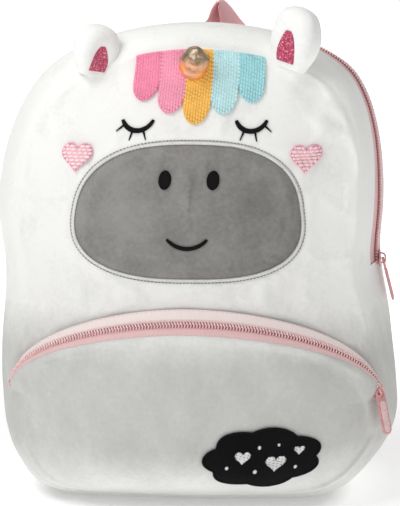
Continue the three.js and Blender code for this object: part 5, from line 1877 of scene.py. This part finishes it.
def lower_webbing(name, side, places):
    end, before = places[-1], places[-2]
    leave = unit(end - before)
    start = end + leave * gap
    turn_in = start + leave * webbing_turn
    anchor_depth = float(back_surface(side * anchor_across, anchor_height)) + soft_gap + anchor_thickness + soft_gap
    finish = np.array([side * anchor_across, anchor_depth + webbing_thickness / 2, anchor_height])
    run = finish - turn_in
    length = float(np.linalg.norm(run))
    along = run / length
    normal = unit(np.array([0, 1.0, 0]) - along * along[1])
    sideways = np.cross(along, normal)
    weave = lock_bar / 2 + webbing_thickness / 2 + 0.8
    centre = lock_share * length
    path = [
        (centre - 2.2 * lock_pitch, -0.6 * weave), (centre - lock_pitch, -weave), (centre - lock_pitch / 2, 0),
        (centre, weave), (centre + lock_pitch / 2, 0), (centre + lock_pitch, -weave),
        (centre + 2.2 * lock_pitch, -0.6 * weave), (length, 0),
    ]
    route = [start, turn_in] + [turn_in + along * far + normal * off for far, off in path]
    section = flat_section(webbing_width, webbing_thickness)
    piece = ribbon(
        f"lower_webbing_{name}", route, 130, lambda share: np.tile(sideways, (len(share), 1)), section, looks["webbing"]
    )[0]
    place(piece, "webbing_pink", f"strap_webbing_{name}")

    half_wide, half_long = webbing_width / 2 + 3.5, lock_pitch + lock_bar / 2
    frame_outline = rounded_box(half_wide, half_long, 2.2)
    holes = []
    window_wide, near, far = webbing_width / 2 + 1, lock_bar / 2, lock_pitch - lock_bar / 2
    for way in (-1, 1):
        middle = way * (near + far) / 2
        hole = rounded_box(window_wide, (far - near) / 2, 0.6)[::-1]
        holes.append([(x, y + middle) for x, y in hole])
    buckle = flat_solid(f"adjuster_{name}_frame", [frame_outline, *holes], lock_bar, 0.5, looks["buckle"])
    set_frame(buckle, np.cross(along, normal), along, normal, turn_in + along * centre)
    place(buckle, "adjuster_pink", f"strap_adjuster_{name}")
    anchor(name, side)


def rounded_box(half_wide, half_tall, corner, steps=6):
    points = []
    for cx, cy, first in ((1, 1, 0), (-1, 1, 1), (-1, -1, 2), (1, -1, 3)):
        for t in np.linspace(0, math.pi / 2, steps):
            turn = t + first * math.pi / 2
            points.append((
                cx * (half_wide - corner) + corner * math.cos(turn),
                cy * (half_tall - corner) + corner * math.sin(turn),
            ))
    return points


def anchor(name, side):
    """The sewn tab that holds the end of the webbing."""
    corners = np.array([
        (side * 0.42, -0.5), (side * 0.62, 0.3), (-side * 0.3, 0.55), (-side * 0.55, 0.05),
    ]) * anchor_size
    rows, columns = 18, 18
    u = np.linspace(0, 1, columns)[None, :, None]
    v = np.linspace(0, 1, rows)[:, None, None]
    low = corners[0] * (1 - u) + corners[3] * u
    high = corners[1] * (1 - u) + corners[2] * u
    flat = low * (1 - v) + high * v + (side * anchor_across, anchor_height)
    x, z = flat[..., 0], flat[..., 1]
    edge = np.minimum.reduce([u[..., 0] + 0 * v[..., 0], 1 - u[..., 0] + 0 * v[..., 0], v[..., 0] + 0 * u[..., 0], 1 - v[..., 0] + 0 * u[..., 0]])
    puff = np.clip(edge * 8, 0, 1) ** 0.5
    base = back_surface(x, z) + soft_gap
    outer = np.stack([x, base + anchor_thickness * (0.35 + 0.65 * puff), z], -1)
    inner = np.stack([x, base, z], -1)
    uv = np.stack([x, z], -1)
    piece = shell(f"anchor_{name}_tab", outer, inner, looks["webbing"], uv=uv)
    rows = []
    ring = np.concatenate([outer[2, 2:-2], outer[2:-2, -3], outer[-3, 2:-2][::-1], outer[2:-2, 2][::-1]])
    up = np.tile((0, 1.0, 0), (len(ring), 1))
    rows.append(running_stitch(ring, up, 2.4, 0.8, 0.1))
    for line in (outer[range(2, 16), range(2, 16)], outer[range(2, 16), range(15, 1, -1)]):
        rows.append(running_stitch(line, np.tile((0, 1.0, 0), (len(line), 1)), 2.4, 0.8, 0.1))
    seam = sew(f"anchor_seam_{name}", rows, looks["blush"], 0.6, 0.45)
    place(join(f"anchor_{name}_tab", [piece, seam]), "webbing_pink", f"strap_anchor_{name}")


# Face

def patch(name, edge, centre, depth_at, material, lift, thickness, puff, rows=14, columns=120, out=-1):
    """A thin padded piece on a surface. edge gives its outline by direction."""
    turn = np.linspace(0, TAU, columns, endpoint=False)
    across, up = edge(turn)
    share = (1 - (1 - np.linspace(0, 1, rows)) ** 1.6)[:, None]
    x, z = centre[0] + across[None] * share, centre[1] + up[None] * share
    base = depth_at(x, z)
    crown = thickness * (0.3 + 0.7 * np.sqrt(np.clip(1 - share**6, 0, 1))) + puff * (1 - share**3)
    outer = np.stack([x, base + out * (lift + crown), z], -1)
    inner = np.stack([x, base + out * lift, z], -1)
    return shell(name, outer, inner, material, closed=True, pole=True)


def muzzle_edge(turn):
    c, s = np.cos(turn), np.sin(turn)
    across = muzzle_half_width * np.sign(c) * np.abs(c) ** (2 / muzzle_power)
    up = muzzle_half_height * np.sign(s) * np.abs(s) ** (2 / muzzle_power)
    return across * (1 - muzzle_taper * up / muzzle_half_height), up


muzzle_puff = 1.3


def muzzle_depth(x, z):
    share = np.clip(muzzle_reach(x, z), 0, 1)
    return face_depth(x, z) - soft_gap - patch_thickness - muzzle_puff * (1 - share**3)


def muzzle():
    piece = patch(
        "muzzle_plush", muzzle_edge, (face_across, muzzle_height), face_depth, looks["grey"],
        soft_gap, patch_thickness, muzzle_puff, rows=34, columns=240,
    )
    turn = np.linspace(0, TAU, 900)
    edge_x, edge_z = muzzle_edge(turn)
    band = satin(
        face_across + edge_x, muzzle_height + edge_z, np.full(len(turn), 2.6),
        lambda x, z: face_depth(x, z) - 1.15, 0.1, 0.5,
    )
    rim = sew("muzzle_rim", [band], looks["silver"], 0.66, 0.8, sides=6)
    lines = []
    # The outer line, just outside the raised band, is a painted shadow line along the band's edge; the inner line is a
    # grey thread.
    for grow in (1.7, -1.6):
        scale_x = (muzzle_half_width + grow) / muzzle_half_width
        scale_z = (muzzle_half_height + grow) / muzzle_half_height
        x, z = face_across + edge_x * scale_x, muzzle_height + edge_z * scale_z
        normal = surface_normal(face_depth, x, z)[0]
        lift = 0.3 if grow > 0 else 1.5
        path = np.stack([x, face_depth(x, z), z], -1) + normal * lift
        lines.append(running_stitch(path, normal, 2.0, 0.25))
    thin = sew("muzzle_lines", lines, looks["slate"], 0.5, 0.5)
    place(join("muzzle_plush", [piece, rim, thin]), "plush_grey", "muzzle")


def oval_stitches(name, node, centre, half_wide, half_tall, depth_at, material):
    edge = lambda turn: (half_wide * np.cos(turn), half_tall * np.sin(turn))
    base = patch(f"{name}_base", edge, centre, depth_at, material, 0.1, 0.7, 0.3, rows=8, columns=48)
    inside = lambda x, z: ((x - centre[0]) / half_wide) ** 2 + ((z - centre[1]) / half_tall) ** 2 < 1
    low = (centre[0] - half_wide, centre[1] - half_tall)
    high = (centre[0] + half_wide, centre[1] + half_tall)
    marks = fill_stitches(inside, low, high, depth_at, 0.95, 9, 0.55, False, 61)
    top = sew(f"{name}_top", [marks], material, 0.62, 0.7)
    place(join(name, [base, top]), "black_felt", node)


def arc_stroke(centre, radius, half_angle, width, taper=0.35):
    turn = np.radians(np.linspace(-half_angle, half_angle, 80))
    x, z = centre[0] + radius * np.sin(turn), centre[1] - radius * np.cos(turn)
    share = np.abs(np.linspace(-1, 1, 80))
    return x, z, width * (1 - taper * share**4)


def stroke_base(name, x, z, widths, depth_at, material):
    """A soft cord of padding under a line of satin stitches."""
    normal = surface_normal(depth_at, x, z)[0]
    path = np.stack([x, depth_at(x, z), z], -1)
    along = unit(np.gradient(path, axis=0))
    side = unit(np.cross(along, normal))
    turn = np.linspace(0, TAU, 14, endpoint=False)
    rings = path[:, None] + side[:, None] * (np.cos(turn) * (widths[:, None] / 2 - 0.2))[..., None]
    rings = rings + normal[:, None] * (0.35 + 0.55 * np.sin(turn))[None, :, None]
    return loft(name, rings, material)


def eyes_and_mouth():
    for name, side in (("left", -1), ("right", 1)):
        centre = (face_across + side * eye_across, eye_height)
        x, z, widths = arc_stroke(centre, eye_radius, eye_half_angle, 1.15 * thread_width)
        pieces = [stroke_base(f"eye_{name}_arc", x, z, widths, face_depth, looks["ink"])]
        marks = [satin(x, z, widths, face_depth, 0.75, 0.5)]
        for lash in (-22, 14, 50):
            turn = math.radians(side * lash)
            inner, outer = eye_radius, eye_radius + thread_width / 2 + lash_length
            reach = np.linspace(inner, outer, 12)
            lx, lz = centre[0] + reach * math.sin(turn), centre[1] - reach * math.cos(turn)
            wide = np.linspace(2.0, 0.9, 12)
            pieces.append(stroke_base(f"eye_{name}_lash_{lash}", lx, lz, wide, face_depth, looks["ink"]))
            marks.append(satin(lx, lz, wide, face_depth, 0.5, 0.5))
        pieces.append(sew(f"eye_{name}_satin", marks, looks["ink"], 0.62, 0.6))
        place(join(f"eye_{name}_stitches", pieces), "black_felt", f"eye_{name}")
        spot = (face_across + side * nostril_across, nostril_height)
        oval_stitches(
            f"nostril_{name}_stitches", f"nostril_{name}", spot, nostril_width / 2, nostril_tall / 2, muzzle_depth, looks["ink"]
        )
    x, z, widths = arc_stroke((face_across, mouth_height), mouth_radius, mouth_half_angle, thread_width)
    base = stroke_base("mouth_arc", x, z, widths, muzzle_depth, looks["ink"])
    top = sew("mouth_satin", [satin(x, z, widths, muzzle_depth, 0.75, 0.5)], looks["ink"], 0.62, 0.6)
    place(join("mouth_stitches", [base, top]), "black_felt", "mouth")


def heart_outline(size, steps=72):
    turn = np.linspace(0, TAU, steps, endpoint=False)
    across = np.sin(turn) ** 3
    up = (13 * np.cos(turn) - 5 * np.cos(2 * turn) - 2 * np.cos(3 * turn) - np.cos(4 * turn)) / 16
    return across * size / 2, up * size / 2


def inside_outline(px, pz):
    """A test for places inside a closed outline."""
    def test(x, z):
        x, z = np.asarray(x, float), np.asarray(z, float)
        crossings = np.zeros(x.shape, int)
        for ax, az, bx, bz in zip(px, pz, np.roll(px, -1), np.roll(pz, -1)):
            spans = (az > z) != (bz > z)
            at = ax + (z - az) * (bx - ax) / (bz - az if abs(bz - az) > 1e-9 else 1e-9)
            crossings += spans & (x < at)
        return crossings % 2 == 1
    return test


def polygon_patch(name, px, pz, depth_at, material, lift, thickness, rows=8):
    """A thin piece on a surface with any outline that can be seen whole from its middle."""
    cx, cz = px.mean(), pz.mean()
    share = (1 - (1 - np.linspace(0, 1, rows)) ** 1.6)[:, None]
    x, z = cx + (px - cx)[None] * share, cz + (pz - cz)[None] * share
    base = depth_at(x, z)
    crown = thickness * (0.25 + 0.75 * np.sqrt(np.clip(1 - share**6, 0, 1)))
    outer = np.stack([x, base - lift - crown, z], -1)
    inner = np.stack([x, base - lift, z], -1)
    return shell(name, outer, inner, material, closed=True, pole=True)


def cheeks():
    for name, side in (("left", -1), ("right", 1)):
        ox, oz = heart_outline(cheek_size)
        px, pz = face_across + side * cheek_across + ox, cheek_height + oz
        lower = lambda x, z: np.where(muzzle_reach(x, z) < 1, face_depth(x, z) - 1.5, face_depth(x, z) - 0.3)
        base = polygon_patch(f"cheek_{name}_base", px, pz, face_depth, looks["blush"], 0.4, 1.3)
        inside = inside_outline(px, pz)
        low, high = (px.min(), pz.min()), (px.max(), pz.max())
        depth_at = lambda x, z: face_depth(x, z) - 1.75
        marks = fill_stitches(inside, low, high, depth_at, 0.1, 3.4, 2.1, False, 71)
        top = sew(f"cheek_{name}_rows", [marks], looks["pale"], 2.0, 1.1, sides=8)
        loop_x, loop_z = np.append(px, px[0]), np.append(pz, pz[0])
        rim = satin(loop_x, loop_z, np.full(len(loop_x), 1.3), lambda x, z: face_depth(x, z) - 1.3, 0.1, 0.55)
        edge = sew(f"cheek_{name}_edge", [rim], looks["pink"], 0.62, 0.7)
        place(join(f"cheek_{name}_stitches", [base, top, edge]), "thread_pink", f"cheek_{name}")


def lock_skin(number, drop, across, down):
    """Place on one lock of the forelock, as direction and share of the face."""
    count = len(forelock)
    lock_width = forelock_width / count
    rim = float(front_rim(np.array([0.0]))[0])
    half_turn = (lock_width / 2 - 0.1) / rim
    longest = max(d for d, _ in forelock)
    centre = (face_across + (number - (count - 1) / 2) * lock_width) / rim
    roundness = half_turn * (1 + forelock_flare) / drop
    end = drop * (1 - roundness * (1 - np.sqrt(np.clip(1 - across**2, 0, 1))))
    fall = down * end
    flare = 1 + forelock_flare * fall / longest
    return (centre + across * half_turn) * flare, forelock_top - fall


def forelock_locks():
    for number, (drop, colour) in enumerate(forelock):
        across = np.sin(np.linspace(-1, 1, 30) * math.pi / 2)[None]
        down = np.linspace(0, 1, 40)[:, None]
        angle, share = lock_skin(number, drop, across, down)
        radius = share * front_rim(angle)
        x, z = radius * np.sin(angle), hub + radius * np.cos(angle)
        edge = np.minimum(1 - np.abs(across) + 0 * down, 1 - down + 0 * across)
        crown = 0.5 + 0.7 * np.clip(edge * 7, 0, 1) ** 0.5
        base = face_depth(x, z)
        outer = np.stack([x, base - soft_gap - crown, z], -1)
        inner = np.stack([x, base - soft_gap + 0.2, z], -1)
        piece = shell(f"lock_{number + 1}_base", outer, inner, looks[colour])
        outline_x = np.concatenate([x[:, 0], x[-1], x[::-1, -1], x[0, ::-1]])
        outline_z = np.concatenate([z[:, 0], z[-1], z[::-1, -1], z[0, ::-1]])
        inside = inside_outline(outline_x[::2], outline_z[::2])
        low, high = (outline_x.min(), outline_z.min()), (outline_x.max(), outline_z.max())
        depth_at = lambda px, pz: face_depth(px, pz) - soft_gap - 1.2
        marks = fill_stitches(inside, low, high, depth_at, 0.1, 2.3, 1.72, True, 80 + number)
        top = sew(f"lock_{number + 1}_rows", [marks], looks[colour], 1.75, 1.1, sides=8)
        rim = satin(outline_x, outline_z, np.full(len(outline_x), 1.1), lambda px, pz: face_depth(px, pz) - 1.1, 0.1, 0.6)
        border = sew(f"lock_{number + 1}_edge", [rim], looks[colour], 0.62, 0.7)
        slots = {"rose": "thread_pink", "pink": "thread_pink", "honey": "thread_honey"}
        slot = slots.get(colour, "thread_teal")
        place(join(f"lock_{number + 1}_stitches", [piece, top, border]), slot, f"forelock_{number + 1}")


def cloud_edge(turn):
    scallop = 1 - 0.13 * (1 - np.abs(np.sin(turn * cloud_lobes / 2)))
    return cloud_half_width * np.cos(turn) * scallop, cloud_half_height * np.sin(turn) * scallop


cloud_motifs = [  # across and up from the middle of the patch, size, kind
    (-13, 2.5, 10, "heart"), (8, -2, 13, "heart"), (22, 6, 7, "heart"),
    (-3, 9, 2.4, "dot"), (-22, -5, 2.4, "dot"), (-4, -8, 2.8, "dot"), (21, -6, 2.4, "dot"), (9, 10.5, 2.0, "dot"),
]


def pocket_cloud():
    piece = patch(
        "cloud_felt", cloud_edge, (cloud_across, cloud_height), pocket_depth, looks["black"],
        soft_gap, patch_thickness, 0.2, rows=22, columns=210,
    )
    turn = np.linspace(0, TAU, 900)
    ex, ez = cloud_edge(turn)
    on_patch = lambda x, z: pocket_depth(x, z) - soft_gap - patch_thickness
    rim = satin(
        cloud_across + ex * 0.985, cloud_height + ez * 0.975, np.full(len(turn), 2.0),
        lambda x, z: pocket_depth(x, z) - 1.2, 0.1, 0.6,
    )
    pieces = [piece, sew("cloud_rim", [rim], looks["ink"], 0.66, 0.8)]
    marks = []
    for across, up, size, kind in cloud_motifs:
        if kind == "heart":
            ox, oz = heart_outline(size, 40)
        else:
            around = np.linspace(0, TAU, 20, endpoint=False)
            ox, oz = size / 2 * np.cos(around), size / 2 * np.sin(around)
        px, pz = cloud_across + across + ox, cloud_height + up + oz
        low, high = (px.min(), pz.min()), (px.max(), pz.max())
        marks.append(fill_stitches(inside_outline(px, pz), low, high, on_patch, 0.25, 8, 0.6, False, 90))
    pieces.append(sew("cloud_motifs", marks, looks["cotton"], 0.7, 0.55))
    place(join("cloud_felt", pieces), "black_felt", "pocket_cloud")


camera()
studio()
floor()
body()
main_zip()
pocket()
pocket_zip()
sliders()
for ear_name, ear_data in ears.items():
    ear(ear_name, ear_data)
horn()
handle()
straps()
muzzle()
eyes_and_mouth()
cheeks()
forelock_locks()
pocket_cloud()
